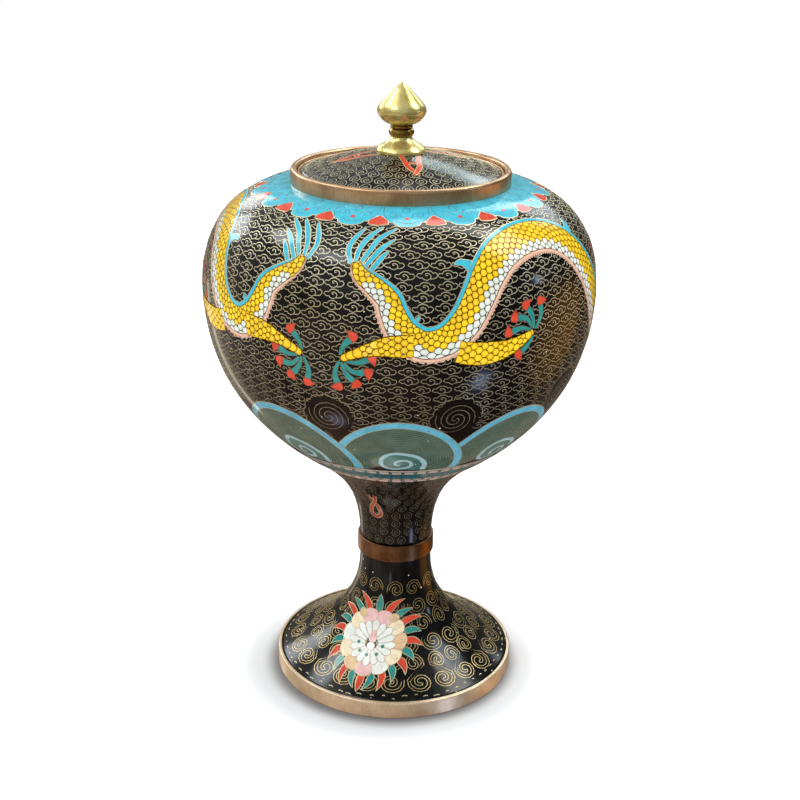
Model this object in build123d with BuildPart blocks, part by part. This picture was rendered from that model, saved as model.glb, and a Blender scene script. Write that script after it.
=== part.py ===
# Covered pedestal jar in cloisonne: a round-bellied bowl on a hollow waisted pedestal, with an inset domed
# lid. Every wall is a sheet of copper with coloured enamel fired on its outside and a plain lining enamel
# on its inside. Metal bands cover the edges, and a turned brass finial is bolted through the lid.
#
# Millimetres, +Z up. The origin is on the table, at the centre of the foot. The front of the jar faces -Y.
from build123d import *
import os

os.makedirs("parts", exist_ok=True)

# ---- driving dimensions -------------------------------------------------------------------------------
enamel = 0.8  # outside enamel, ground level with its wires
copper = 0.9  # sheet that every wall is beaten from
lining = 0.5  # counter enamel on the inside
wall = enamel + copper + lining

foot_radius = 44.5
foot_rim_height = 6.2
foot_rim_wall = 1.2
foot_hem_reach = 3.4  # the rim's edge is turned in under the foot
foot_hem_height = 1.4

stem_joint_height = 49.8  # the foot and the stem meet end to end inside the band
stem_joint_radius = 13.2
band_radius = 14.1
band_height = 6.6
band_edge_round = 0.5

bowl_joint_radius = 35.0  # circle where the stem's trumpet is soldered to the bowl
bowl_joint_height = 89.5
belly_radius = 68.1
belly_height = 150.0  # the two bowl shells are soldered edge to edge at the belly
shoulder_height = 185.1
mouth_radius = 33.0  # hole that the lid's flange drops through

collar_radius = 37.5
collar_inner_radius = 35.3
collar_top = 190.2
collar_lip_round = 1.0

bezel_radius = 35.0  # the lid's copper edge, 0.3 mm clear of the collar
bezel_wall = 0.8
bezel_top = 189.0
lid_edge_height = 188.5  # top of the lid's enamel at the bezel
lid_crown_height = 196.0
flange_radius = 32.5
flange_wall = 0.8
flange_bottom = 178.0

finial_base_radius = 8.4
finial_base_top = 200.4
finial_bead_top = 204.3
finial_tip = 218.5
stud_radius = 2.0
stud_clearance = 0.15
nut_across_flats = 7.0
nut_height = 3.2
washer_radius = 4.6
washer_thickness = 0.8

# ---- outlines of the enamel surface, as (radius, height): two ends and the two handles between them ---
bowl_joint = (bowl_joint_radius, bowl_joint_height)
belly = (belly_radius, belly_height)
shoulder_edge = (collar_radius, shoulder_height)
stem_joint = (stem_joint_radius, stem_joint_height)
rim_inside = foot_radius - foot_rim_wall
bezel_inside = bezel_radius - bezel_wall

lower_bowl = Bezier(bowl_joint, (53.2, 102.5), (belly_radius, 121.0), belly)
upper_bowl = Bezier(belly, (belly_radius, 178.4), (48.4, 184.2), shoulder_edge)
stem = Bezier(stem_joint, (stem_joint_radius, 70.2), (18.4, 77.6), bowl_joint)
foot = Bezier((foot_radius, foot_rim_height - 0.9), (11.7, 21.4), (stem_joint_radius, 37.6), stem_joint)
lid_crown = (0.0, lid_crown_height)
lid = Bezier((bezel_radius, lid_edge_height), (24.0, 192.2), (12.0, lid_crown_height), lid_crown)


def parallel(line, depth, stations=12):
    """The same line moved to its left by depth, which is into the wall for every outline here."""
    if depth == 0:
        return line
    moved = []
    for station in range(stations + 1):
        slope = line % (station / stations)
        moved.append(line @ (station / stations) + depth * Vector(-slope.Y, slope.X))
    return Spline(*moved, tangents=[line % 0, line % 1], mode=Mode.PRIVATE)


def turned_layer(line, near, far):
    """Adds the ring of wall that lies between near and far millimetres inside a line."""
    with BuildSketch(Plane.XZ) as section:
        with BuildLine():
            near_line, far_line = parallel(line, near), parallel(line, far)
            add(near_line)
            add(far_line)
            Line(near_line @ 0, far_line @ 0)
            Line(near_line @ 1, far_line @ 1)
        make_face()
    revolve(section.sketch, axis=Axis.Z)


def turned_section(*corners):
    """Adds the ring whose half section has these corners, as (radius, height)."""
    with BuildSketch(Plane.XZ) as section:
        with BuildLine():
            Polyline(*corners, close=True)
        make_face()
    revolve(section.sketch, axis=Axis.Z)


def disc(radius, low, high, mode=Mode.ADD):
    """A plain round plate on the axis, between two heights."""
    with Locations((0, 0, low)):
        Cylinder(radius, high - low, align=(Align.CENTER, Align.CENTER, Align.MIN), mode=mode)


def circles(part, radius, height, tolerance=0.01):
    """The part's round edges of one radius at one height."""
    found = part.edges().filter_by(GeomType.CIRCLE)
    near_radius = [e for e in found if abs(e.radius - radius) < tolerance]
    return [e for e in near_radius if abs(e.arc_center.Z - height) < tolerance]


# depths of the layers below the enamel surface
enamel_layer = (0, enamel)
copper_layer = (enamel, enamel + copper)
lining_layer = (enamel + copper, wall)

# heights that follow from the dimensions above
copper_shoulder = shoulder_height - enamel  # flat ledge that the collar stands on and the lid rests on
joint_slope = lower_bowl % 0
floor_seat = lower_bowl @ 0 + (enamel + copper) * Vector(-joint_slope.Y, joint_slope.X)
floor_bottom = floor_seat.Y
floor_top = floor_bottom + copper
band_bottom = stem_joint_height - band_height / 2
band_top = stem_joint_height + band_height / 2
far_above, far_below = 400, -400

# ---- bowl ---------------------------------------------------------------------------------------------
with BuildPart() as bowl_lower_shell:
    turned_layer(lower_bowl, *copper_layer)

ledge_radius = collar_radius + 0.1  # the ledge runs just into the curved wall and is one sheet with it
with BuildPart() as bowl_upper_shell:
    turned_layer(upper_bowl, *copper_layer)
    turned_section(
        (mouth_radius, copper_shoulder),
        (ledge_radius, copper_shoulder),
        (ledge_radius, copper_shoulder - copper),
        (mouth_radius, copper_shoulder - copper),
    )
    disc(collar_radius, copper_shoulder, far_above, mode=Mode.SUBTRACT)

# a bevelled copper disc soldered in over the open top of the stem
with BuildPart() as bowl_floor:
    turned_section(
        (0, floor_bottom),
        (floor_seat.X, floor_bottom),
        (floor_seat.X + copper * joint_slope.X / joint_slope.Y, floor_top),
        (0, floor_top),
    )

with BuildPart() as bowl_enamel:
    turned_layer(lower_bowl, *enamel_layer)
    turned_layer(upper_bowl, *enamel_layer)
    disc(collar_radius, copper_shoulder, far_above, mode=Mode.SUBTRACT)

with BuildPart() as bowl_lining:
    turned_layer(lower_bowl, *lining_layer)
    turned_layer(upper_bowl, *lining_layer)
    split(bisect_by=Plane.XY.offset(floor_top), keep=Keep.TOP)
    disc(floor_seat.X + copper, floor_top, floor_top + lining)

with BuildPart() as mouth_collar:
    turned_section(
        (collar_inner_radius, copper_shoulder),
        (collar_radius, copper_shoulder),
        (collar_radius, collar_top),
        (collar_inner_radius, collar_top),
    )
    fillet(circles(mouth_collar, collar_radius, collar_top), collar_lip_round)
    fillet(circles(mouth_collar, collar_inner_radius, collar_top), collar_lip_round)

# ---- pedestal -----------------------------------------------------------------------------------------
with BuildPart() as stem_shell:
    turned_layer(stem, *copper_layer)

with BuildPart() as stem_enamel:
    turned_layer(stem, *enamel_layer)
    split(bisect_by=Plane.XY.offset(band_top), keep=Keep.TOP)

with BuildPart() as foot_shell:
    turned_layer(foot, *copper_layer)
    disc(rim_inside, 0, stem_joint_height, mode=Mode.INTERSECT)

with BuildPart() as foot_enamel:
    turned_layer(foot, *enamel_layer)
    disc(rim_inside, 0, band_bottom, mode=Mode.INTERSECT)

with BuildPart() as foot_lining:
    turned_layer(foot, *lining_layer)
    disc(rim_inside, 0, band_bottom, mode=Mode.INTERSECT)

# the ring that hides and holds the joint between the two halves of the pedestal
band_inner_radius = stem_joint_radius - enamel - copper / 2
with BuildPart() as stem_band:
    turned_section(
        (band_inner_radius, band_bottom),
        (band_radius, band_bottom),
        (band_radius, band_top),
        (band_inner_radius, band_top),
    )
    fillet(circles(stem_band, band_radius, band_bottom), band_edge_round)
    fillet(circles(stem_band, band_radius, band_top), band_edge_round)
    add(stem_shell.part, mode=Mode.SUBTRACT)
    add(foot_shell.part, mode=Mode.SUBTRACT)

with BuildPart() as foot_rim:
    turned_section(
        (foot_radius - foot_hem_reach, 0),
        (foot_radius, 0),
        (foot_radius, foot_rim_height),
        (rim_inside, foot_rim_height),
        (rim_inside, foot_hem_height),
        (foot_radius - foot_hem_reach, foot_hem_height),
    )
    fillet(circles(foot_rim, foot_radius, foot_rim_height), foot_rim_wall * 0.55)
    fillet(circles(foot_rim, foot_radius, 0), foot_rim_wall * 0.3)

# ---- lid ----------------------------------------------------------------------------------------------
stud_hole = stud_radius + stud_clearance


def drill():
    """The lid's central hole, for the finial's stud."""
    disc(stud_hole, far_below, far_above, mode=Mode.SUBTRACT)


with BuildPart() as lid_shell:
    turned_layer(lid, *copper_layer)
    disc(bezel_inside, 0, far_above, mode=Mode.INTERSECT)
    drill()

with BuildPart() as lid_enamel:
    turned_layer(lid, *enamel_layer)
    disc(bezel_inside, 0, far_above, mode=Mode.INTERSECT)
    drill()

with BuildPart() as lid_lining:
    turned_layer(lid, *lining_layer)
    disc(flange_radius - flange_wall, 0, far_above, mode=Mode.INTERSECT)
    drill()

with BuildPart() as lid_bezel:
    turned_section(
        (bezel_inside, copper_shoulder),
        (bezel_radius, copper_shoulder),
        (bezel_radius, bezel_top),
        (bezel_inside, bezel_top),
    )
    fillet(circles(lid_bezel, bezel_radius, bezel_top), bezel_wall * 0.45)
    fillet(circles(lid_bezel, bezel_inside, bezel_top), bezel_wall * 0.45)

# the ring that drops through the mouth and keeps the lid central, fitted to the underside of the shell
flange_top = lid_edge_height - 0.5
with BuildPart() as lid_flange:
    turned_section(
        (flange_radius - flange_wall, flange_bottom),
        (flange_radius, flange_bottom),
        (flange_radius, flange_top),
        (flange_radius - flange_wall, flange_top),
    )
    add(lid_shell.part, mode=Mode.SUBTRACT)

# ---- finial -------------------------------------------------------------------------------------------
base_bottom = lid_crown_height - 0.7  # below the enamel's crown, so that the foot follows the dome
base_edge = (finial_base_radius, lid_crown_height + 0.1)
base_neck = (3.5, finial_base_top)
with BuildPart() as finial_base:
    with BuildSketch(Plane.XZ):
        with BuildLine():
            Polyline(
                base_neck,
                (stud_hole, finial_base_top),
                (stud_hole, base_bottom),
                (finial_base_radius, base_bottom),
                base_edge,
            )
            Bezier(base_edge, (7.3, 198.0), (4.4, 198.2), base_neck)
        make_face()
    revolve(axis=Axis.Z)
    add(lid_enamel.part, mode=Mode.SUBTRACT)

# a round bead with a thin ring above it
bead_bottom = (3.1, finial_base_top)
ring_bottom = (3.3, finial_base_top + 2.8)
ring_top = (3.3, finial_bead_top)
with BuildPart() as finial_bead:
    with BuildSketch(Plane.XZ):
        with BuildLine():
            Polyline(ring_top, (stud_hole, finial_bead_top), (stud_hole, finial_base_top), bead_bottom)
            ThreePointArc(bead_bottom, (4.3, finial_base_top + 1.4), ring_bottom)
            ThreePointArc(ring_bottom, (3.85, finial_bead_top - 0.55), ring_top)
        make_face()
    revolve(axis=Axis.Z)

# an onion bud drawn out to a point
bud_bottom = (3.2, finial_bead_top)
bud_point = (0, finial_tip)
stud_top = finial_bead_top + 6.0
with BuildPart() as finial_bud:
    with BuildSketch(Plane.XZ):
        with BuildLine():
            Polyline(bud_point, (0, finial_bead_top), bud_bottom)
            Spline(
                bud_bottom,
                (6.9, 206.3),
                (8.25, 209.1),
                (6.3, 212.4),
                (2.2, 216.7),
                bud_point,
                tangents=[(0.97, 0.25), (-0.75, 0.66)],
            )
        make_face()
    revolve(axis=Axis.Z)
    disc(stud_radius, 0, stud_top, mode=Mode.SUBTRACT)

lining_under = lid_crown_height - wall - 0.22  # the washer lies on the lining, just clear of its curve
washer_bottom = lining_under - washer_thickness
nut_bottom = washer_bottom - nut_height
stud_bottom = nut_bottom - 1.2

with BuildPart() as finial_stud:
    disc(stud_radius, stud_bottom, stud_top)
    chamfer(circles(finial_stud, stud_radius, stud_bottom), 0.4)

with BuildPart() as finial_washer:
    disc(washer_radius, washer_bottom, lining_under)
    disc(stud_hole, 0, far_above, mode=Mode.SUBTRACT)
    fillet(circles(finial_washer, washer_radius, washer_bottom), 0.3)

nut_corner = nut_across_flats / 3**0.5
with BuildPart() as finial_nut:
    with BuildSketch(Plane.XY.offset(nut_bottom)):
        RegularPolygon(nut_across_flats / 2, 6, major_radius=False)
        Circle(stud_radius, mode=Mode.SUBTRACT)
    extrude(amount=nut_height)
    # the corners are turned back, as on any bar-turned nut
    with BuildSketch(Plane.XZ) as turned_back:
        with BuildLine():
            Polyline(
                (nut_corner - 0.5, nut_bottom),
                (nut_corner + 0.1, nut_bottom),
                (nut_corner + 0.1, nut_bottom + 0.4),
                close=True,
            )
        make_face()
    revolve(turned_back.sketch, axis=Axis.Z, mode=Mode.SUBTRACT)

# ---- export -------------------------------------------------------------------------------------------
pieces = {
    "bowl_lower_shell": bowl_lower_shell,
    "bowl_upper_shell": bowl_upper_shell,
    "bowl_floor": bowl_floor,
    "bowl_enamel": bowl_enamel,
    "bowl_lining": bowl_lining,
    "mouth_collar": mouth_collar,
    "stem_shell": stem_shell,
    "stem_enamel": stem_enamel,
    "stem_band": stem_band,
    "foot_shell": foot_shell,
    "foot_enamel": foot_enamel,
    "foot_lining": foot_lining,
    "foot_rim": foot_rim,
    "lid_shell": lid_shell,
    "lid_enamel": lid_enamel,
    "lid_lining": lid_lining,
    "lid_bezel": lid_bezel,
    "lid_flange": lid_flange,
    "finial_base": finial_base,
    "finial_bead": finial_bead,
    "finial_bud": finial_bud,
    "finial_stud": finial_stud,
    "finial_washer": finial_washer,
    "finial_nut": finial_nut,
}
for name, piece in pieces.items():
    piece.part.label = name
    export_step(piece.part, f"parts/{name}.step")
    state = "valid" if piece.part.is_valid else "INVALID"
    print(name, len(piece.part.solids()), "solid", round(piece.part.volume, 1), "mm3", state)
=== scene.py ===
import math
import random
import bpy
from mathutils import Matrix, Vector
from mathutils.geometry import delaunay_2d_cdt


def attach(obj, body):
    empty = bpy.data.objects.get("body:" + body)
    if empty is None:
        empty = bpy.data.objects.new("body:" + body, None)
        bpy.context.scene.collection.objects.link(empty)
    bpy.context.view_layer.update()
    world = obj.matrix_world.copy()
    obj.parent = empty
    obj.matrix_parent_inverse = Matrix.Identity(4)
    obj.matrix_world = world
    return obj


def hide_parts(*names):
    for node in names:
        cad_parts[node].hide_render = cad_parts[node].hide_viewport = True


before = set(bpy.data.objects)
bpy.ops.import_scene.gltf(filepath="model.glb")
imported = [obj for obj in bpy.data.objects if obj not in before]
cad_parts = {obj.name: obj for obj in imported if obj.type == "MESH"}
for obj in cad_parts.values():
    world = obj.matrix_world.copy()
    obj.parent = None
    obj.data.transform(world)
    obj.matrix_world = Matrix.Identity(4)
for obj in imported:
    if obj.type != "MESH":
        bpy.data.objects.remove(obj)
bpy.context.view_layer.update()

# Covered cloisonne pedestal jar. The enamel is drawn flat, in degrees round the jar and mm down its
# side, then laid on the turned surface. Lengths are in mm until the laying-on tree turns them to metres.
mm = 0.001
helpers = []  # objects that only serve the making and go at the end

# heights above the polished ground: the cells and wires overlap in this order
levels = {
    "cloudCrown": 0.035,  # ground wires
    "cell": 0.07,  # enamel cells
    "cellFoot": -0.12,  # how far a cell's side goes into the ground
    "wireCrown": 0.115,  # wires round the cells
    "over": 0.05,  # step up for a limb that passes over a body
}
wireWidth = 0.36  # drawn brass wire, as its polished edge shows


def addNode(tree, kind, inputs=None, **settings):
    node = tree.nodes.new(kind)
    for name, value in settings.items():
        setattr(node, name, value)
    for key, value in (inputs or {}).items():
        if isinstance(value, bpy.types.NodeSocket):
            tree.links.new(value, node.inputs[key])
        else:
            node.inputs[key].default_value = value
    return node


# one knot each: handle before, point, handle after, as (radius, height)
outlines = {
    "bowl": [
        (None, (37.5, 185.1), (48.4, 184.2)),
        ((68.1, 178.4), (68.1, 150.0), (68.1, 121.0)),
        ((53.2, 102.5), (35.0, 89.5), None),
    ],
    "stem": [(None, (35.0, 89.5), (18.4, 77.6)), ((13.2, 70.2), (13.2, 49.8), None)],
    "foot": [(None, (13.2, 49.8), (13.2, 37.6)), ((11.7, 21.4), (44.5, 5.3), None)],
    "lid": [(None, (0.0, 196.0), (12.0, 196.0)), ((24.0, 192.2), (35.0, 188.5), None)],
}
sampleStep = 0.25


def makeOutline(name, knots):
    data = bpy.data.curves.new(name + "Outline", "CURVE")
    data.dimensions = "3D"
    data.resolution_u = 96
    spline = data.splines.new("BEZIER")
    spline.bezier_points.add(len(knots) - 1)
    for knot, (before, point, after) in zip(spline.bezier_points, knots):
        knot.handle_left_type = knot.handle_right_type = "FREE"
        knot.co = (point[0] * mm, 0, point[1] * mm)
        before, after = before or point, after or point
        knot.handle_left = (before[0] * mm, 0, before[1] * mm)
        knot.handle_right = (after[0] * mm, 0, after[1] * mm)
    curve = bpy.data.objects.new(name + "Outline", data)
    bpy.context.scene.collection.objects.link(curve)
    helpers.append(curve)
    # the same line as even steps, for the drawing
    fine = []
    for (_, start, after), (before, end, _) in zip(knots, knots[1:]):
        for i in range(400):
            t = i / 400
            weights = ((1 - t) ** 3, 3 * (1 - t) ** 2 * t, 3 * (1 - t) * t * t, t**3)
            corners = (start, after, before, end)
            fine.append(tuple(sum(w * c[axis] for w, c in zip(weights, corners)) for axis in (0, 1)))
    fine.append(knots[-1][1])
    radii, run, target = [fine[0][0]], 0.0, sampleStep
    for a, b in zip(fine, fine[1:]):
        span = math.dist(a, b)
        while run + span >= target:
            share = (target - run) / span
            radii.append(a[0] + share * (b[0] - a[0]))
            target += sampleStep
        run += span
    radii.append(fine[-1][0])
    return {"curve": curve, "radii": radii, "length": run}


zones = {name: makeOutline(name, knots) for name, knots in outlines.items()}
print("outlines:", {name: round(zone["length"], 1) for name, zone in zones.items()})


def perDegree(zone, down):
    place = min(max(down / sampleStep, 0), len(zone["radii"]) - 2)
    i = int(place)
    radius = zone["radii"][i] + (place - i) * (zone["radii"][i + 1] - zone["radii"][i])
    return max(radius, 0.4) * math.pi / 180


def at(zone, spot, x, y):
    # x mm to the right of a spot and y mm further down
    down = spot[1] + y
    return (spot[0] + x / perDegree(zone, down), down)


def gap(zone, p, q):
    return math.hypot((q[0] - p[0]) * perDegree(zone, (p[1] + q[1]) / 2), q[1] - p[1])


def smooth(zone, points, step=0.8, closed=False):
    # a soft line through given points; extra values such as widths are carried along
    count, line = len(points), []
    for i in range(count if closed else count - 1):
        if closed:
            a, b, c, d = (points[(i + k) % count] for k in (-1, 0, 1, 2))
        else:
            a, b, c, d = (points[min(max(i + k, 0), count - 1)] for k in (-1, 0, 1, 2))
        parts = max(1, round(gap(zone, b, c) / step))
        for part in range(parts):
            t = part / parts
            line.append(tuple(
                0.5 * (2 * q + (r - p) * t + (2 * p - 5 * q + 4 * r - s) * t * t + (3 * q - p - 3 * r + s) * t**3)
                for p, q, r, s in zip(a, b, c, d)
            ))
    if not closed:
        line.append(tuple(points[-1]))
    return line


def sideways(zone, line, closed=False):
    # for each point, the flat step that is one mm to its left
    steps, count = [], len(line)
    for i, point in enumerate(line):
        if closed:
            p, q = line[i - 1], line[(i + 1) % count]
        else:
            p, q = line[max(i - 1, 0)], line[min(i + 1, count - 1)]
        scale = perDegree(zone, point[1])
        x, y = (q[0] - p[0]) * scale, q[1] - p[1]
        length = math.hypot(x, y) or 1
        steps.append((y / length / scale, -x / length))
    return steps


def newSheet():
    return {"verts": [], "faces": [], "uvs": []}


def addStrip(sheet, rows, closed=False):
    # rows run along the line; each holds (angle, down, lift) or (angle, down, lift, u, v), left side first
    start, width = len(sheet["verts"]), len(rows[0])
    for row in rows:
        for point in row:
            sheet["verts"].append(point[:3])
            sheet["uvs"].append(point[3:5] if len(point) > 3 else (0.5, 0.5))
    for i in range(len(rows) if closed else len(rows) - 1):
        here, there = start + i * width, start + (i + 1) % len(rows) * width
        for k in range(width - 1):
            sheet["faces"].append((here + k, here + k + 1, there + k + 1, there + k))


def wire(zone, sheet, line, width=wireWidth, crown=None, closed=False):
    # a drawn wire: its polished edge is just proud of the enamel, its sides are sunk in it
    crown = levels["wireCrown"] if crown is None else crown
    rows = []
    for point, step in zip(line, sideways(zone, line, closed)):
        a, d, half = point[0], point[1], width / 2
        rows.append([
            (a + step[0] * half, d + step[1] * half, crown - 0.09),
            (a, d, crown),
            (a - step[0] * half, d - step[1] * half, crown - 0.09),
        ])
    addStrip(sheet, rows, closed)


def band(zone, sheet, line, left, right, lift=None, columns=1):
    # a cell that follows a line, from left to right mm beside it; the widths are numbers or lists
    lift = levels["cell"] if lift is None else lift
    count = len(line)
    left = left if isinstance(left, list) else [left] * count
    right = right if isinstance(right, list) else [right] * count
    top, leftWall, rightWall = [], [], []
    for point, step, l, r in zip(line, sideways(zone, line), left, right):
        row = []
        for k in range(columns + 1):
            off = l + (r - l) * k / columns
            row.append((point[0] + step[0] * off, point[1] + step[1] * off, lift))
        top.append(row)
        leftWall.append([(*row[0][:2], levels["cellFoot"]), row[0]])
        rightWall.append([row[-1], (*row[-1][:2], levels["cellFoot"])])
    for rows in (top, leftWall, rightWall):
        addStrip(sheet, rows)


def patch(zone, sheet, outline, lift=None, grid=2.2):
    # a cell with a closed outline, with inner points so that it follows the curve of the wall
    lift = levels["cell"] if lift is None else lift
    middle = sum(p[1] for p in outline) / len(outline)
    scale = perDegree(zone, middle)
    ring = [(p[0] * scale, p[1]) for p in outline]
    if sum(a[0] * b[1] - b[0] * a[1] for a, b in zip(ring, ring[1:] + ring[:1])) > 0:
        ring, outline = ring[::-1], outline[::-1]
    low = [min(p[k] for p in ring) for k in (0, 1)]
    high = [max(p[k] for p in ring) for k in (0, 1)]
    inner = []
    for i in range(1, int((high[0] - low[0]) / grid) + 1):
        for k in range(1, int((high[1] - low[1]) / grid) + 1):
            p = (low[0] + (i - 0.5) * grid, low[1] + (k - 0.5) * grid)
            if min(math.dist(p, q) for q in ring) > grid * 0.45:
                inner.append(p)
    points = [Vector(p) for p in ring + inner]
    made = delaunay_2d_cdt(points, [], [list(range(len(ring)))], 1, 1e-4)
    start = len(sheet["verts"])
    for p in made[0]:
        sheet["verts"].append((p[0] / scale, p[1], lift))
        sheet["uvs"].append((0.5, 0.5))
    for face in made[2]:
        corners = [made[0][i] for i in face]
        turn = sum(a[0] * b[1] - b[0] * a[1] for a, b in zip(corners, corners[1:] + corners[:1]))
        order = face if turn < 0 else face[::-1]
        sheet["faces"].append(tuple(start + i for i in order))
    wall = [[(*p[:2], lift), (*p[:2], levels["cellFoot"])] for p in outline]
    addStrip(sheet, wall, closed=True)


def circle(zone, spot, x, y, reachX, reachY, count):
    # points of a round outline whose middle is x, y mm from a spot
    turns = [k / count * math.tau for k in range(count)]
    return [at(zone, spot, x + reachX * math.cos(turn), y + reachY * math.sin(turn)) for turn in turns]


def beside(line, steps, offsets):
    # the line moved sideways, by its own number of mm at each point
    return [(p[0] + s[0] * offset, p[1] + s[1] * offset) for p, s, offset in zip(line, steps, offsets)]


def edgedCell(zone, fill, edge, outline, lift, width, proud, grid=2.2):
    # a cell and the wire round it
    patch(zone, fill, outline, lift=lift, grid=grid)
    wire(zone, edge, outline, width, lift + proud, closed=True)


def mirrored(sheet, meridian):
    return {
        "verts": [(2 * meridian - v[0], v[1], v[2]) for v in sheet["verts"]],
        "faces": [face[::-1] for face in sheet["faces"]],
        "uvs": list(sheet["uvs"]),
    }


def joined(*sheets):
    whole = newSheet()
    for sheet in sheets:
        start = len(whole["verts"])
        whole["verts"] += sheet["verts"]
        whole["uvs"] += sheet["uvs"]
        whole["faces"] += [tuple(start + i for i in face) for face in sheet["faces"]]
    return whole


def flatMesh(name, sheet):
    mesh = bpy.data.meshes.new(name)
    mesh.from_pydata([tuple(v) for v in sheet["verts"]], [], sheet["faces"])
    layer = mesh.uv_layers.new(name="enamel")
    layer.data.foreach_set("uv", [x for loop in mesh.loops for x in sheet["uvs"][loop.vertex_index]])
    mesh.update()
    return mesh


def helper(name, data):
    thing = bpy.data.objects.new(name, data)
    bpy.context.scene.collection.objects.link(thing)
    helpers.append(thing)
    return thing


def addInput(tree, name, kind, value=None):
    socket = tree.interface.new_socket(name, in_out="INPUT", socket_type=kind)
    if value is not None:
        socket.default_value = value
    return socket


def buildLayingTree():
    # takes a flat drawing (degrees, mm down, mm proud) and lays it on a turned outline
    tree = bpy.data.node_groups.new("layOnTurnedWall", "GeometryNodeTree")
    addInput(tree, "Drawing", "NodeSocketGeometry")
    addInput(tree, "Outline", "NodeSocketObject")
    addInput(tree, "Millimetre", "NodeSocketFloat", mm)
    addInput(tree, "Material", "NodeSocketMaterial")
    tree.interface.new_socket("Piece", in_out="OUTPUT", socket_type="NodeSocketGeometry")
    given = addNode(tree, "NodeGroupInput").outputs
    outline = addNode(tree, "GeometryNodeObjectInfo", {"Object": given["Outline"]}).outputs["Geometry"]
    spot = addNode(tree, "GeometryNodeInputPosition").outputs[0]
    flat = addNode(tree, "ShaderNodeSeparateXYZ", {0: spot}).outputs
    scaled = addNode(tree, "ShaderNodeVectorMath", {0: spot, "Scale": given["Millimetre"]},
                     operation="SCALE").outputs[0]
    metres = addNode(tree, "ShaderNodeSeparateXYZ", {0: scaled}).outputs
    sampled = addNode(
        tree, "GeometryNodeSampleCurve", {"Curves": outline, "Length": metres[1]}, mode="LENGTH",
        use_all_curves=True
    ).outputs
    # outwards is the tangent turned a quarter, in the plane of the outline
    outwards = addNode(
        tree, "ShaderNodeVectorMath", {0: sampled["Tangent"], 1: (0, 1, 0)}, operation="CROSS_PRODUCT").outputs[0]
    proud = addNode(tree, "ShaderNodeVectorMath", {0: outwards, "Scale": metres[2]}, operation="SCALE").outputs[0]
    wall = addNode(tree, "ShaderNodeVectorMath", {0: sampled["Position"], 1: proud}, operation="ADD").outputs[0]
    profile = addNode(tree, "ShaderNodeSeparateXYZ", {0: wall}).outputs
    # then round the axis, with 0 degrees at the front
    turn = addNode(tree, "ShaderNodeMath", {0: flat[0]}, operation="RADIANS").outputs[0]
    sine = addNode(tree, "ShaderNodeMath", {0: turn}, operation="SINE").outputs[0]
    cosine = addNode(tree, "ShaderNodeMath", {0: turn}, operation="COSINE").outputs[0]
    forwards = addNode(tree, "ShaderNodeMath", {0: cosine, 1: -1.0}, operation="MULTIPLY").outputs[0]
    x = addNode(tree, "ShaderNodeMath", {0: profile[0], 1: sine}, operation="MULTIPLY").outputs[0]
    y = addNode(tree, "ShaderNodeMath", {0: profile[0], 1: forwards}, operation="MULTIPLY").outputs[0]
    place = addNode(tree, "ShaderNodeCombineXYZ", {0: x, 1: y, 2: profile[2]}).outputs[0]
    moved = addNode(tree, "GeometryNodeSetPosition", {"Geometry": given["Drawing"], "Position": place}).outputs[0]
    real = addNode(tree, "GeometryNodeRealizeInstances", {"Geometry": moved}).outputs[0]
    done = addNode(tree, "GeometryNodeSetMaterial", {"Geometry": real, "Material": given["Material"]}).outputs[0]
    addNode(tree, "NodeGroupOutput", {"Piece": done})
    return tree


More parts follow.
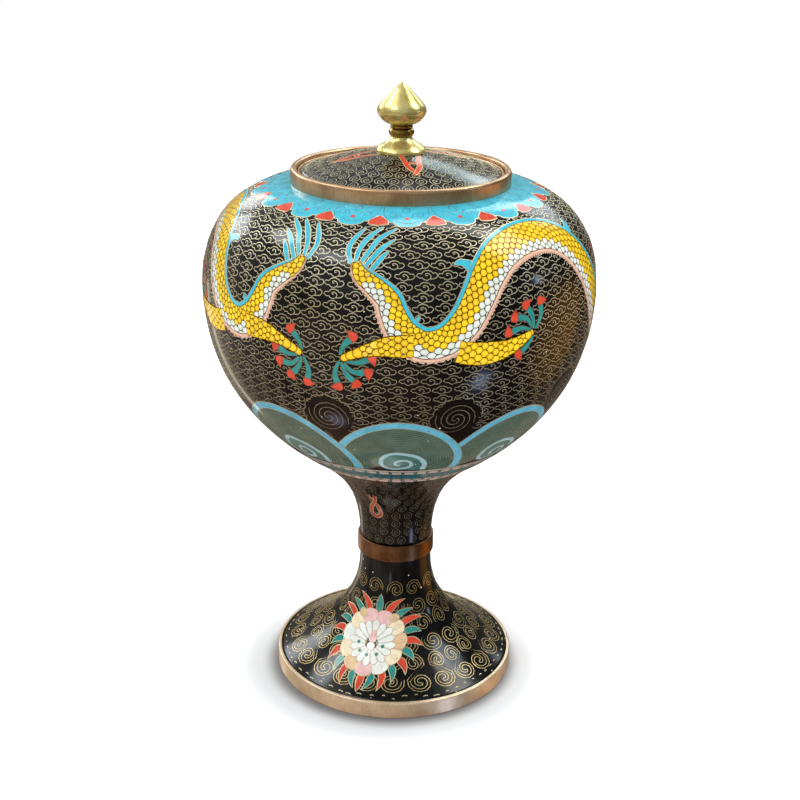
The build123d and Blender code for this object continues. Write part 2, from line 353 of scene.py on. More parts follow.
def buildRowsTree(layingTree):
    # sets a motif on every point of a field, drops what lies under the cells, then lays the rest on the wall
    tree = bpy.data.node_groups.new("motifRows", "GeometryNodeTree")
    addInput(tree, "Field", "NodeSocketGeometry")
    addInput(tree, "Motif", "NodeSocketObject")
    addInput(tree, "Cells", "NodeSocketObject")
    addInput(tree, "Outline", "NodeSocketObject")
    addInput(tree, "Millimetre", "NodeSocketFloat", mm)
    addInput(tree, "Uneven", "NodeSocketFloat", 0.08)
    addInput(tree, "Seed", "NodeSocketInt", 4)
    addInput(tree, "Material", "NodeSocketMaterial")
    tree.interface.new_socket("Piece", in_out="OUTPUT", socket_type="NodeSocketGeometry")
    given = addNode(tree, "NodeGroupInput").outputs
    motif = addNode(tree, "GeometryNodeObjectInfo", {"Object": given["Motif"]}).outputs["Geometry"]
    cells = addNode(tree, "GeometryNodeObjectInfo", {"Object": given["Cells"]}).outputs["Geometry"]
    stretch = addNode(tree, "GeometryNodeInputNamedAttribute", {"Name": "stretch"},
                      data_type="FLOAT_VECTOR").outputs[0]
    least = addNode(tree, "ShaderNodeMath", {0: 1.0, 1: given["Uneven"]}, operation="SUBTRACT").outputs[0]
    chance = addNode(
        tree, "FunctionNodeRandomValue", {2: least, 3: 1.0, "Seed": given["Seed"]}, data_type="FLOAT"
    ).outputs[1]
    size = addNode(tree, "ShaderNodeVectorMath", {0: stretch, "Scale": chance}, operation="SCALE").outputs[0]
    spread = addNode(
        tree, "GeometryNodeInstanceOnPoints", {"Points": given["Field"], "Instance": motif, "Scale": size}
    ).outputs[0]
    real = addNode(tree, "GeometryNodeRealizeInstances", {"Geometry": spread}).outputs[0]
    spot = addNode(tree, "GeometryNodeInputPosition").outputs[0]
    above = addNode(tree, "ShaderNodeVectorMath", {0: spot, 1: (0, 0, 5)}, operation="ADD").outputs[0]
    hit = addNode(tree, "GeometryNodeRaycast", {
        "Target Geometry": cells, "Source Position": above, "Ray Direction": (0, 0, -1), "Ray Length": 10.0,
    }).outputs["Is Hit"]
    kept = addNode(tree, "GeometryNodeDeleteGeometry", {"Geometry": real, "Selection": hit},
                   domain="FACE").outputs[0]
    laid = addNode(tree, "GeometryNodeGroup", node_tree=layingTree)
    for name, value in (("Drawing", kept), ("Outline", given["Outline"]), ("Millimetre", given["Millimetre"])):
        tree.links.new(value, laid.inputs[name])
    tree.links.new(given["Material"], laid.inputs["Material"])
    real = addNode(tree, "GeometryNodeRealizeInstances", {"Geometry": laid.outputs[0]}).outputs[0]
    done = addNode(tree, "GeometryNodeSetMaterial", {"Geometry": real, "Material": given["Material"]}).outputs[0]
    addNode(tree, "NodeGroupOutput", {"Piece": done})
    return tree


layingTree = buildLayingTree()
rowsTree = buildRowsTree(layingTree)
triangles = {}


def grow(thing, tree, inputs):
    # runs a tree on an object and keeps the result as a plain mesh
    modifier = thing.modifiers.new("growth", "NODES")
    modifier.node_group = tree
    for item in tree.interface.items_tree:
        if item.in_out == "INPUT" and item.name in inputs:
            modifier[item.identifier] = inputs[item.name]
    bpy.context.view_layer.update()
    graph = bpy.context.evaluated_depsgraph_get()
    mesh = bpy.data.meshes.new_from_object(thing.evaluated_get(graph), depsgraph=graph)
    thing.modifiers.clear()
    thing.data = mesh
    mesh.name = thing.name
    mesh.polygons.foreach_set("use_smooth", [True] * len(mesh.polygons))
    mesh.update()
    triangles[thing.name] = sum(len(p.vertices) - 2 for p in mesh.polygons)
    return thing


def layOn(name, sheet, zone, material, body):
    thing = bpy.data.objects.new(name, flatMesh(name, sheet))
    bpy.context.scene.collection.objects.link(thing)
    grow(thing, layingTree, {"Outline": zone["curve"], "Material": material})
    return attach(thing, body)


def repeatOn(name, field, motif, cells, zone, material, body, seed):
    # field: rows of (angle, down, size)
    mesh = bpy.data.meshes.new(name)
    mesh.from_pydata([(a, d, 0) for a, d, _ in field], [], [])
    stretch = mesh.attributes.new("stretch", "FLOAT_VECTOR", "POINT")
    stretch.data.foreach_set("vector", [x for _, d, s in field for x in (s / perDegree(zone, d), s, 1.0)])
    thing = bpy.data.objects.new(name, mesh)
    bpy.context.scene.collection.objects.link(thing)
    grow(thing, rowsTree, {
        "Motif": motif, "Cells": cells, "Outline": zone["curve"], "Material": material, "Seed": seed,
    })
    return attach(thing, body)


def linear(hexColour):
    values = [int(hexColour[i:i + 2], 16) / 255 for i in (1, 3, 5)]
    return tuple(v / 12.92 if v <= 0.04045 else ((v + 0.055) / 1.055) ** 2.4 for v in values) + (1.0,)


def newMaterial(name):
    material = bpy.data.materials.new(name)
    material.use_nodes = True
    tree = material.node_tree
    tree.nodes.clear()
    shader = tree.nodes.new("ShaderNodeBsdfPrincipled")
    out = tree.nodes.new("ShaderNodeOutputMaterial")
    tree.links.new(shader.outputs[0], out.inputs[0])
    return material, tree, shader


def setStops(ramp, stops):
    # stops: (place from 0 to 1, colour)
    elements = ramp.color_ramp.elements
    for place, _ in stops[1:-1]:
        elements.new(place)
    for element, (place, colour) in zip(elements, stops):
        element.position, element.color = place, colour


def perMillimetre(size):
    # noise scale for features of a size in mm, on coordinates in metres
    return 1 / (size * mm)


# sizes in mm; the pits' share and reach are shares of their spacing
glass = {
    "grain": 0.5, "haze": 9, "ripple": 5, "rippleDepth": 0.12,
    "pitSpacing": 3.4, "pitShare": 0.16, "pitReach": 0.075, "scaleGrain": 0.7, "scaleDepth": 0.1,
}


def enamel(name, deep, pale, mottle=1.6, rough=0.09, pits=0.55, pitColour="#C9C2B0", glassIor=1.5):
    # Powdered glass, fired, stoned flush and polished: a deep gloss over colour that is a little cloudy from
    # the grain of the powder, with small pits that have filled with pale polishing dust.
    material, tree, shader = newMaterial(name)
    where = addNode(tree, "ShaderNodeTexCoord").outputs["Object"]
    cloud = addNode(tree, "ShaderNodeTexNoise", {
        "Vector": where, "Scale": perMillimetre(mottle * 2), "Detail": 5.0, "Roughness": 0.6}).outputs[0]
    grain = addNode(tree, "ShaderNodeTexNoise", {
        "Vector": where, "Scale": perMillimetre(glass["grain"]), "Detail": 2.0}).outputs[0]
    both = addNode(tree, "ShaderNodeMix", {0: 0.35, 2: cloud, 3: grain}, data_type="FLOAT").outputs[0]
    ramp = addNode(tree, "ShaderNodeValToRGB", {0: both})
    setStops(ramp, [(0.34, linear(deep)), (0.66, linear(pale))])
    cells = addNode(tree, "ShaderNodeTexVoronoi", {
        "Vector": where, "Scale": perMillimetre(glass["pitSpacing"]), "Randomness": 1.0}).outputs
    lucky = addNode(tree, "ShaderNodeSeparateColor", {0: cells["Color"]}).outputs[0]
    few = addNode(tree, "ShaderNodeMath", {
        0: lucky, 1: 1 - glass["pitShare"] * pits}, operation="GREATER_THAN").outputs[0]
    small = addNode(tree, "ShaderNodeMath", {
        0: cells["Distance"], 1: glass["pitReach"]}, operation="LESS_THAN").outputs[0]
    pit = addNode(tree, "ShaderNodeMath", {0: few, 1: small}, operation="MULTIPLY").outputs[0]
    colour = addNode(tree, "ShaderNodeMix", {
        0: pit, "A": ramp.outputs[0], "B": linear(pitColour)}, data_type="RGBA")
    tree.links.new(colour.outputs["Result"], shader.inputs["Base Color"])
    hazy = addNode(tree, "ShaderNodeTexNoise", {
        "Vector": where, "Scale": perMillimetre(glass["haze"]), "Detail": 3.0}).outputs[0]
    gloss = addNode(tree, "ShaderNodeMapRange", {0: hazy, 3: rough * 0.7, 4: rough * 1.7}).outputs[0]
    dull = addNode(tree, "ShaderNodeMath", {0: gloss, 1: pit}, operation="MAXIMUM").outputs[0]
    tree.links.new(dull, shader.inputs["Roughness"])
    ripple = addNode(tree, "ShaderNodeTexNoise", {
        "Vector": where, "Scale": perMillimetre(glass["ripple"]), "Detail": 2.0}).outputs[0]
    sunk = addNode(tree, "ShaderNodeMath", {0: ripple, 1: pit}, operation="SUBTRACT").outputs[0]
    bump = addNode(tree, "ShaderNodeBump", {
        "Strength": 0.12, "Distance": glass["rippleDepth"] * mm, "Height": sunk}).outputs[0]
    tree.links.new(bump, shader.inputs["Normal"])
    shader.inputs["IOR"].default_value = glassIor
    return material


def scaleEnamel(name, deep, middle, pale):
    # The same fired glass in small scale cells. Each is filled by hand, so each has a tone of its own, and the
    # colour thins to a paler yellow in the middle of the cell where the filling is highest.
    material, tree, shader = newMaterial(name)
    where = addNode(tree, "ShaderNodeTexCoord").outputs
    own = addNode(tree, "ShaderNodeSeparateXYZ", {0: where["UV"]}).outputs
    grain = addNode(tree, "ShaderNodeTexNoise", {
        "Vector": where["Object"], "Scale": perMillimetre(glass["scaleGrain"]), "Detail": 3.0}).outputs[0]
    tone = addNode(tree, "ShaderNodeMix", {0: 0.3, 2: own[0], 3: grain}, data_type="FLOAT").outputs[0]
    ramp = addNode(tree, "ShaderNodeValToRGB", {0: tone})
    setStops(ramp, [(0.1, linear(deep)), (0.85, linear(middle))])
    rim = addNode(tree, "ShaderNodeMapRange", {0: own[1], 1: 0.1, 2: 0.85, 3: 0.55, 4: 0.0}).outputs[0]
    colour = addNode(tree, "ShaderNodeMix", {
        0: rim, "A": ramp.outputs[0], "B": linear(pale)}, data_type="RGBA")
    tree.links.new(colour.outputs["Result"], shader.inputs["Base Color"])
    gloss = addNode(tree, "ShaderNodeMapRange", {0: grain, 3: 0.08, 4: 0.2}).outputs[0]
    tree.links.new(gloss, shader.inputs["Roughness"])
    bump = addNode(tree, "ShaderNodeBump", {
        "Strength": 0.15, "Distance": glass["scaleDepth"] * mm, "Height": grain}).outputs[0]
    tree.links.new(bump, shader.inputs["Normal"])
    shader.inputs["IOR"].default_value = 1.52
    return material


def metal(name, deep, pale, rough, brushing=(1.0, 1.0, 1.0), brushSize=0.6, toneSize=7.0, bumpDepth=0.03, bare=1.0,
          paintedLowShade=None):
    # Worked metal: the tone wanders where it has been handled and toned, and fine brushing lines roughen it.
    material, tree, shader = newMaterial(name)
    where = addNode(tree, "ShaderNodeTexCoord").outputs["Object"]
    stretched = addNode(tree, "ShaderNodeMapping", {"Vector": where, "Scale": brushing}).outputs[0]
    lines = addNode(tree, "ShaderNodeTexNoise", {
        "Vector": stretched, "Scale": perMillimetre(brushSize), "Detail": 4.0, "Roughness": 0.65}).outputs[0]
    tone = addNode(tree, "ShaderNodeTexNoise", {
        "Vector": where, "Scale": perMillimetre(toneSize), "Detail": 4.0}).outputs[0]
    both = addNode(tree, "ShaderNodeMix", {0: 0.4, 2: tone, 3: lines}, data_type="FLOAT").outputs[0]
    ramp = addNode(tree, "ShaderNodeValToRGB", {0: both})
    setStops(ramp, [(0.36, linear(deep)), (0.64, linear(pale))])
    colour = ramp.outputs[0]
    if paintedLowShade:
        # painted shade: lower down the jar the colour is darkened, standing in for less light falling there
        height = addNode(tree, "ShaderNodeSeparateXYZ", {0: where}).outputs[2]
        start, end, tone = paintedLowShade
        paintedShadeFactor = addNode(tree, "ShaderNodeMapRange",
                        {0: height, 1: start * mm, 2: end * mm, 3: tone, 4: 1.0}).outputs[0]
        colour = addNode(tree, "ShaderNodeVectorMath", {0: colour, "Scale": paintedShadeFactor}, operation="SCALE").outputs[0]
    tree.links.new(colour, shader.inputs["Base Color"])
    gloss = addNode(tree, "ShaderNodeMapRange", {0: both, 3: rough * 0.75, 4: rough * 1.3}).outputs[0]
    tree.links.new(gloss, shader.inputs["Roughness"])
    bump = addNode(tree, "ShaderNodeBump", {
        "Strength": 0.3, "Distance": bumpDepth * mm, "Height": lines}).outputs[0]
    tree.links.new(bump, shader.inputs["Normal"])
    shader.inputs["Metallic"].default_value = bare
    return material


finish = {
    "ground": enamel("blackEnamel", "#040304", "#0B0908", rough=0.11, pits=0.9, glassIor=1.44),
    "wornGround": enamel("wornBlackEnamel", "#040304", "#0C0A09", rough=0.12, pits=3.6, pitColour="#DAD4C2",
                         glassIor=1.46),
    "turquoise": enamel("turquoiseEnamel", "#2B9BB3", "#45B7CA"),
    "teal": enamel("tealEnamel", "#1E706C", "#338A82", mottle=1.0, pits=2.2, pitColour="#101012"),
    "blue": enamel("paleBlueEnamel", "#45849A", "#5FA3B5", mottle=2.2, pits=2.0, pitColour="#243038"),
    "crest": enamel("greyBlueEnamel", "#7C9AA0", "#94AFB2", mottle=2.2, pits=1.5, pitColour="#243038"),
    "green": enamel("darkGreenEnamel", "#31453B", "#485E50", mottle=2.5, pits=1.2),
    "pool": enamel("greyTealEnamel", "#35554F", "#456A62", mottle=2.0, pits=1.2),
    "deepTeal": enamel("deepTealEnamel", "#1D4549", "#2A585C", mottle=2.0, pits=1.2),
    "coral": enamel("coralEnamel", "#B0341F", "#CF4C36", mottle=1.2),
    "pink": enamel("pinkEnamel", "#CB9E86", "#DDB69F", mottle=1.0),
    "clay": enamel("clayPinkEnamel", "#8F8076", "#B3A296", mottle=1.0),
    "white": enamel("whiteEnamel", "#CED2CB", "#E8EAE2"),
    "cream": enamel("creamEnamel", "#DCC9A4", "#EBDDC0"),
    "tan": enamel("tanEnamel", "#C9A67C", "#DCBE98"),
    "brick": enamel("brickRedEnamel", "#7E2C20", "#9C4030", mottle=1.2),
    "rose": enamel("roseEnamel", "#D49FA0", "#E6C0BE"),
    "bodyGround": enamel("amberEnamel", "#7A5210", "#966A18"),
    "gold": scaleEnamel("yellowScaleEnamel", "#CB9706", "#E4BD10", "#F0D63A"),
    "belly": scaleEnamel("whiteScaleEnamel", "#B9C3B4", "#D2D7CF", "#E0E3DD"),
    # the cloud wires carry painted shade: their colour is at 0.4 below 112 mm and rises to full at 158 mm
    "groundWire": metal("brassCloudWire", "#D2C498", "#FAF2D6", 0.45, brushSize=0.3, toneSize=14.0, bumpDepth=0.01,
                        bare=0.8, paintedLowShade=(112, 158, 0.4)),
    "wire": metal("brassCellWire", "#D8C490", "#F6EBC8", 0.4, brushSize=0.3, toneSize=6.0, bumpDepth=0.01,
                  bare=0.85),
    "footWire": metal("goldenFootWire", "#C8AA6A", "#F0DAA0", 0.4, brushSize=0.3, toneSize=6.0, bumpDepth=0.01,
                      bare=0.85),
    "clawWire": metal("pinkBrassClawWire", "#8E6A52", "#B9937A", 0.4, brushSize=0.3, toneSize=5.0, bumpDepth=0.01),
    "scaleWire": metal("darkBrassScaleWire", "#6B4510", "#94691E", 0.42, brushSize=0.3, toneSize=5.0,
                       bumpDepth=0.01),
    "dullWire": metal("tarnishedBrassWire", "#4E6A68", "#86968A", 0.45, brushSize=0.3, toneSize=5.0,
                      bumpDepth=0.01),
    # toned copper band, rubbed satin up and down, lighter where it has been handled
    "bronze": metal("tonedCopperBand", "#BE9268", "#EAC69E", 0.3, brushing=(1.0, 1.0, 0.12), brushSize=0.35,
                    bare=0.9),
    "darkBand": metal("darkCopperBand", "#6E4A30", "#A67C5A", 0.3, brushing=(1.0, 1.0, 0.2), brushSize=0.35),
    "rim": metal("wornCopperRim", "#D6B48E", "#F6E0C2", 0.3, brushing=(1.0, 1.0, 0.2), brushSize=0.4, bare=0.7),
    "brass": metal("turnedBrassFinial", "#D6BE62", "#FAEEA6", 0.26, brushing=(0.3, 0.3, 3.0), brushSize=0.5,
                   toneSize=5.0, bumpDepth=0.01, bare=0.86),
    "agedBrass": metal("agedBrassBead", "#8A7434", "#C4AC5E", 0.2, brushing=(0.3, 0.3, 3.0), brushSize=0.5,
                       toneSize=4.0, bumpDepth=0.01),
    "copper": metal("beatenCopperSheet", "#8E5533", "#B5764A", 0.36),
    "lining": enamel("turquoiseCounterEnamel", "#2A8C94", "#46A9AC", mottle=3.0, rough=0.16, pits=1.5),
}
finish["goldFace"], finish["black"] = finish["gold"], finish["ground"]
print("materials:", len(finish))

bowl = zones["bowl"]
colourSheets = {}


def sheetFor(zoneName, colour):
    return colourSheets.setdefault((zoneName, colour), newSheet())


shoulder = {
    "count": 17, "firstAngle": 2.6, "notch": 11.4, "lobe": 13.5, "valley": 7.3, "coralEdge": 12.9,
    # shares of the pitch: half of the lobe, where the dip beside it ends, its depth in mm
    "lobeHalf": 0.235, "dipEnd": 0.3, "dipDepth": 0.5, "steps": 34,
    "coralTop": (-0.165, -0.12, -0.08, -0.04, 0, 0.04, 0.08, 0.12, 0.165),
    "coralFoot": (0.17, 0.12, 0.06, 0, -0.06, -0.12, -0.17),
    # wires inside a lappet, in mm from its middle
    "middle": 6.6, "scroll": {"x": 3.9, "y": 0.4, "reach": 2.1, "turns": 1.3},
    "side": ((6.6, -5.4), (7.0, -2.6), (6.9, 0.4), (5.9, 3.2)),
    "bow": ((-3.6, 3.4), (-2.0, 4.7), (0, 5.1), (2.0, 4.7), (3.6, 3.4)),
    "leaf": ((0, -5.6), (1.1, -3.4), (0, -0.8), (-1.1, -3.4)),
    "seed": {"y": 2.4, "reach": 0.8},
}


def lappetEdge(share):
    # how far down the turquoise reaches; share runs from 0 at a lappet's middle to 0.5 between two
    x, notch, valley = abs(share), shoulder["notch"], shoulder["valley"]
    half, dipEnd = shoulder["lobeHalf"], shoulder["dipEnd"]
    if x < half:
        return notch + (shoulder["lobe"] - notch) * math.sqrt(1 - (x / half) ** 2)
    if x < dipEnd:
        return notch - shoulder["dipDepth"] * math.sin((x - half) / (dipEnd - half) * math.pi)
    return notch - (notch - valley) * ((x - dipEnd) / (0.5 - dipEnd)) ** 0.8


def drawShoulder():
    turquoise, coral = sheetFor("bowl", "turquoise"), sheetFor("bowl", "coral")
    wires, dull = sheetFor("bowl", "wire"), sheetFor("bowl", "dullWire")
    pitch, steps = 360 / shoulder["count"], shoulder["steps"]
    rows, edge = [], []
    for i in range(shoulder["count"] * steps):
        angle = shoulder["firstAngle"] + pitch * i / steps
        low = lappetEdge((i / steps + 0.5) % 1 - 0.5)
        rows.append([(angle, 0.02 + (low - 0.02) * k / 6, levels["cell"]) for k in range(7)])
        edge.append((angle, low))
    addStrip(turquoise, rows, closed=True)
    addStrip(turquoise, [[row[-1], (*row[-1][:2], levels["cellFoot"])] for row in rows], closed=True)
    wire(bowl, wires, edge, width=0.42, closed=True)
    for i in range(shoulder["count"]):
        middle = shoulder["firstAngle"] + pitch * i
        between = middle + pitch / 2
        # coral piece between two lappets, with a rounded foot
        sides = [(between + pitch * s, lappetEdge(0.5 - abs(s))) for s in shoulder["coralTop"]]
        foot = [(between + pitch * s, shoulder["coralEdge"] - 7 * abs(s) ** 1.5) for s in shoulder["coralFoot"]]
        patch(bowl, coral, sides + foot)
        wire(bowl, wires, [sides[-1]] + foot + [sides[0]], width=0.4)
        # a pair of scrolls in each lappet, a bow below them and a red seed
        spot, scroll = (middle, shoulder["middle"]), shoulder["scroll"]
        for side in (-1, 1):
            line = [at(bowl, spot, side * 0.7, 4.0)]
            for k in range(15):
                turn, reach = k / 14 * scroll["turns"] * math.tau, scroll["reach"] * (1 - k / 17)
                line.append(at(bowl, spot, side * (scroll["x"] - reach * math.cos(turn)),
                               scroll["y"] - reach * math.sin(turn)))
            wire(bowl, dull, line, width=0.32)
            wire(bowl, dull, smooth(bowl, [at(bowl, spot, side * x, y) for x, y in shoulder["side"]]), width=0.3)
        wire(bowl, dull, smooth(bowl, [at(bowl, spot, x, y) for x, y in shoulder["bow"]]), width=0.32)
        leaf = smooth(bowl, [at(bowl, spot, x, y) for x, y in shoulder["leaf"]], closed=True)
        wire(bowl, dull, leaf, width=0.3, closed=True)
        seed = shoulder["seed"]
        patch(bowl, coral, circle(bowl, spot, 0, seed["y"], seed["reach"], seed["reach"], 8),
              lift=levels["cell"] + 0.03, grid=1.0)


roundel = {
    "count": 9, "firstAngle": 0.5, "middle": 102.6, "reach": 21.6, "border": 2.7, "lineGap": 0.95, "tilt": 0.0018,
    "sweep": 1.44, "steps": 72, "lines": 10,  # how much of a full round is drawn, in half turns
    # the curl of the breaking crest, in mm from the roundel's middle
    "crest": [(8.2, 7.9), (8.8, 3.4), (8.1, -0.1), (5.8, -3.1), (3.0, -4.4), (-0.5, -5.2), (-3.4, -4.2),
              (-5.3, -1.6),
              (-5.7, 1.9), (-4.7, 5.0), (-2.2, 6.8), (0.7, 6.7), (3.5, 5.2), (4.5, 2.6), (3.4, 0.3), (1.0, -0.2),
              (-0.8, 1.2), (-0.8, 3.2), (0.6, 4.0)],
}


def drawRoundels():
    blue, green = sheetFor("bowl", "blue"), sheetFor("bowl", "green")
    wires, fine = sheetFor("bowl", "wire"), sheetFor("bowl", "groundWire")
    around = roundel["steps"]

    def ring(spot, reach, extra):
        # each roundel is a little higher to its right, so that it passes over the next one's left side
        points = []
        for k in range(around + 1):
            turn = (k / around - 0.5) * roundel["sweep"] * math.pi
            x, y = reach * math.sin(turn), -reach * math.cos(turn)
            points.append((*at(bowl, spot, x, y), levels["cell"] + extra + roundel["tilt"] * (x - 8)))
        return points

    for i in range(roundel["count"]):
        spot = (roundel["firstAngle"] + 360 / roundel["count"] * i, roundel["middle"])
        outer, reach = roundel["reach"], roundel["reach"] - roundel["border"]
        addStrip(green, list(zip(*[ring(spot, reach * (1 - j / 9), 0) for j in range(10)])))
        border = list(zip(*[ring(spot, outer - roundel["border"] * j / 2, 0.004) for j in range(3)]))
        addStrip(blue, border)
        addStrip(blue, [[(*row[0][:2], levels["cellFoot"]), row[0]] for row in border])
        for edge in (outer, reach):
            wireAt(wires, ring(spot, edge, 0), 0.34)
        for j in range(1, roundel["lines"] + 1):
            wireAt(fine, ring(spot, reach - roundel["lineGap"] * j, -0.012), 0.17)
        # the breaking crest: a pale band with a bumpy outer edge that curls up over deep teal
        pool = [at(bowl, spot, x, y) for x, y in roundel["crest"][:11]]
        patch(bowl, sheetFor("bowl", "pool"), smooth(bowl, pool, step=1.2, closed=True),
              lift=levels["cell"] + 0.012)
        curl = smooth(bowl, [at(bowl, spot, x, y) for x, y in roundel["crest"]], step=0.6)
        n = len(curl)
        outerHalf = [0.85 - 0.3 * k / n + 0.28 * abs(math.sin(k * 0.36)) * (1 - k / n) for k in range(n)]
        innerHalf = [-0.85 + 0.35 * k / n for k in range(n)]
        lift = levels["cell"] + 0.02
        band(bowl, sheetFor("bowl", "crest"), curl, outerHalf, innerHalf, lift=lift)
        for offsets in (outerHalf, innerHalf):
            wire(bowl, fine, beside(curl, sideways(bowl, curl), offsets), 0.22, lift + 0.03)


def wireAt(sheet, line, width):
    # a wire on a line whose points carry their own lift
    rows = []
    for point, step in zip(line, sideways(bowl, line)):
        a, d, lift = point
        rows.append([
            (a + step[0] * width / 2, d + step[1] * width / 2, lift - 0.03),
            (a, d, lift + 0.045),
            (a - step[0] * width / 2, d - step[1] * width / 2, lift - 0.03),
        ])
    addStrip(sheet, rows)


# mm down from the hem's top edge: the plain pale hoop, the two rows of dashes and the wires
hem = {
    "top": 111.3, "dashes": 64, "dashShare": 0.74, "hoop": (0.3, 1.3), "rows": ((1.9, 4.1), (10.3, 12.3)),
    "wires": (0.1, 1.5, 4.35, 10.05, 12.6), "ribs": 20, "ribReach": (4.4, 10),
}


def hoop(sheet, top, low, lift, steps=180):
    # a plain ring of enamel right round the jar
    parts = max(1, round((low - top) / 2))
    rows = [[(360 * i / steps, top + (low - top) * k / parts,
              lift) for k in range(parts + 1)] for i in range(steps)]
    addStrip(sheet, rows, closed=True)


def hoopWire(zone, sheet, down, width=0.36, crown=None, steps=180):
    wire(zone, sheet, [(360 * i / steps, down) for i in range(steps)], width, crown, closed=True)


def dashes(zone, sheet, wires, top, low, count, share, lift):
    for i in range(count):
        middle, half = 360 * i / count, 180 * share / count
        rows = [[(middle + x * half, top, lift), (middle + x * half, low, lift)] for x in (-1, -0.5, 0, 0.5, 1)]
        addStrip(sheet, rows)
        wire(zone, wires, [(middle + 180 / count, top), (middle + 180 / count, low)], 0.3, lift + 0.05)


def drawHem():
    teal, clay = sheetFor("bowl", "deepTeal"), sheetFor("bowl", "clay")
    wires, top = sheetFor("bowl", "groundWire"), hem["top"]
    over = levels["cell"] + 0.06
    hoop(teal, top, bowl["length"] - 0.1, over)
    hoop(clay, top + hem["hoop"][0], top + hem["hoop"][1], over + 0.02)
    for high, low in hem["rows"]:
        dashes(bowl, clay, wires, top + high, top + low, hem["dashes"], hem["dashShare"], over + 0.02)
    for down in hem["wires"]:
        hoopWire(bowl, wires, top + down, width=0.28, crown=over + 0.05)
    for i in range(hem["ribs"]):
        angle = 360 / hem["ribs"] * i + 1
        wire(bowl, wires, [(angle, top + down) for down in hem["ribReach"]], 0.28, over + 0.05)


# right dragon; the left one is its mirror image. spine: (angle, down, half width), from tail to neck
dragon = {
    "meridian": -20.6,
    "spine": [
        (-12.6, 27.5, 1.3), (-10.6, 31.4, 2.3), (-6.6, 34.8, 2.9), (-3.0, 38.6, 3.3), (-1.3, 43.6, 3.8),
        (1.4, 49.0, 4.3),
        (6.6, 52.6, 4.5), (12.6, 51.4, 4.7), (17.6, 46.2, 4.9), (21.2, 39.6, 5.0), (25.0, 32.6, 5.2),
        (30.4, 26.6, 5.3),
        (37.4, 23.2, 5.4), (45.4, 21.9, 5.5), (53.4, 23.4, 5.6), (60.2, 28.4, 5.6), (65.6, 36.4, 5.6),
        (70.2, 45.6, 5.6),
        (75.0, 54.8, 5.6), (81.0, 62.0, 5.5), (88.4, 65.4, 5.4), (96.2, 63.4, 5.2), (102.4, 56.2, 5.0),
        (107.4, 47.0, 4.7),
        (112.8, 38.4, 4.3), (119.6, 33.2, 3.9), (127.0, 32.4, 3.6), (131.0, 33.4, 3.5),
    ],
    "finWidth": 1.25,
    # a hooked spur in mm: along the fin and out from it
    "spur": [(-1.9, -0.6), (-1.2, 1.4), (-1.2, 2.8), (-2.3, 4.6), (-0.2, 4.3), (1.0, 2.9), (1.7, 1.2), (2.0, -0.6)],
    "spurs": [(0.6, 0.4), (24.6, 1.0), (61.0, 1.0), (86.0, 0.8), (98.0, 1.0), (109.0, 0.9), (121.0, 0.8)],
    "plume": [
        [(-13.8, 28.2), (-15.3, 23.8), (-14.7, 20.0), (-11.7, 14.4)],
        [(-12.6, 27.6), (-12.0, 22.8), (-9.6, 18.0), (-5.7, 13.5)],
        [(-11.2, 28.0), (-8.8, 23.2), (-6.3, 18.6), (-0.8, 14.0)],
        [(-10.2, 29.6), (-7.4, 25.2), (-5.0, 22.0), (-1.5, 18.9)],
        [(-8.8, 31.4), (-6.5, 27.8), (-5.0, 25.4), (-3.3, 23.3)],
    ],
    # legs: spine as above, then where the claw turns to
    "legs": [
        {"line": [(4.0, 53.0, 3.6), (0.0, 53.0, 3.5), (-3.2, 53.2, 3.1), (-6.2, 54.0, 2.4), (-8.8, 54.9, 1.85),
                  (-12.2, 56.5, 1.4), (-15.0, 58.1, 1.15)], "turn": 0},
        {"line": [(15.6, 55.2, 3.6), (20.5, 56.5, 3.8), (25.2, 56.7, 3.6), (29.8, 56.1, 2.8), (34.2, 54.4, 1.9),
                  (38.2, 52.2, 0.9)], "turn": 192},
        {"line": [(98.0, 60.4, 3.5), (104.0, 62.6, 3.4), (110.4, 61.6, 2.6), (116.6, 58.2, 1.8),
                  (121.2, 53.8, 0.9)],
         "turn": 175},
        {"line": [(109.0, 46.0, 3.2), (103.4, 43.2, 3.1), (97.8, 41.4, 2.4), (92.6, 38.6, 1.7), (89.0, 34.4, 0.9)],
         "turn": 75},
    ],
    # fingers in mm from the ankle, the thumb first; each ends where its nail begins
    "fingers": [
        [(-0.3, -1.2), (0.4, -3.4), (1.8, -5.6), (3.1, -6.7)],
        [(1.3, 0.5), (4.4, 0.9), (6.3, 0.5), (8.6, -0.6)],
        [(0.9, 1.3), (3.1, 3.6), (5.1, 4.2), (7.3, 3.9)],
        [(0.1, 0.9), (0.8, 3.5), (2.2, 5.8), (3.9, 7.2)],
        [(-0.6, 0.9), (-1.8, 3.5), (-2.1, 5.9), (-1.4, 8.5)],
    ],
    "nail": [(0.0, -1.05), (1.4, -1.3), (2.5, -0.9), (2.8, 0.1), (2.2, 1.3), (1.5, 2.2), (0.8, 3.1), (0.6, 1.9),
             (0.0, 1.05)],
}
random.seed(21)


def spineTable(zone, points):
    line = smooth(zone, points, step=0.5)
    steps = sideways(zone, line)
    run = [0.0]
    for p, q in zip(line, line[1:]):
        run.append(run[-1] + gap(zone, p, q))
    return {"line": line, "steps": steps, "run": run}


def bodyPoint(table, u, v):
    # u mm along the spine from the tail, v mm to its left
    run = table["run"]
    u = min(max(u, 0), run[-1])
    low, high = 0, len(run) - 1
    while high - low > 1:
        middle = (low + high) // 2
        low, high = (middle, high) if run[middle] <= u else (low, middle)
    share = (u - run[low]) / (run[high] - run[low])
    p, q = table["line"][low], table["line"][high]
    s, t = table["steps"][low], table["steps"][high]
    a, d, half = (p[k] + share * (q[k] - p[k]) for k in (0, 1, 2))
    return (a + v * (s[0] + share * (t[0] - s[0])), d + v * (s[1] + share * (t[1] - s[1]))), half


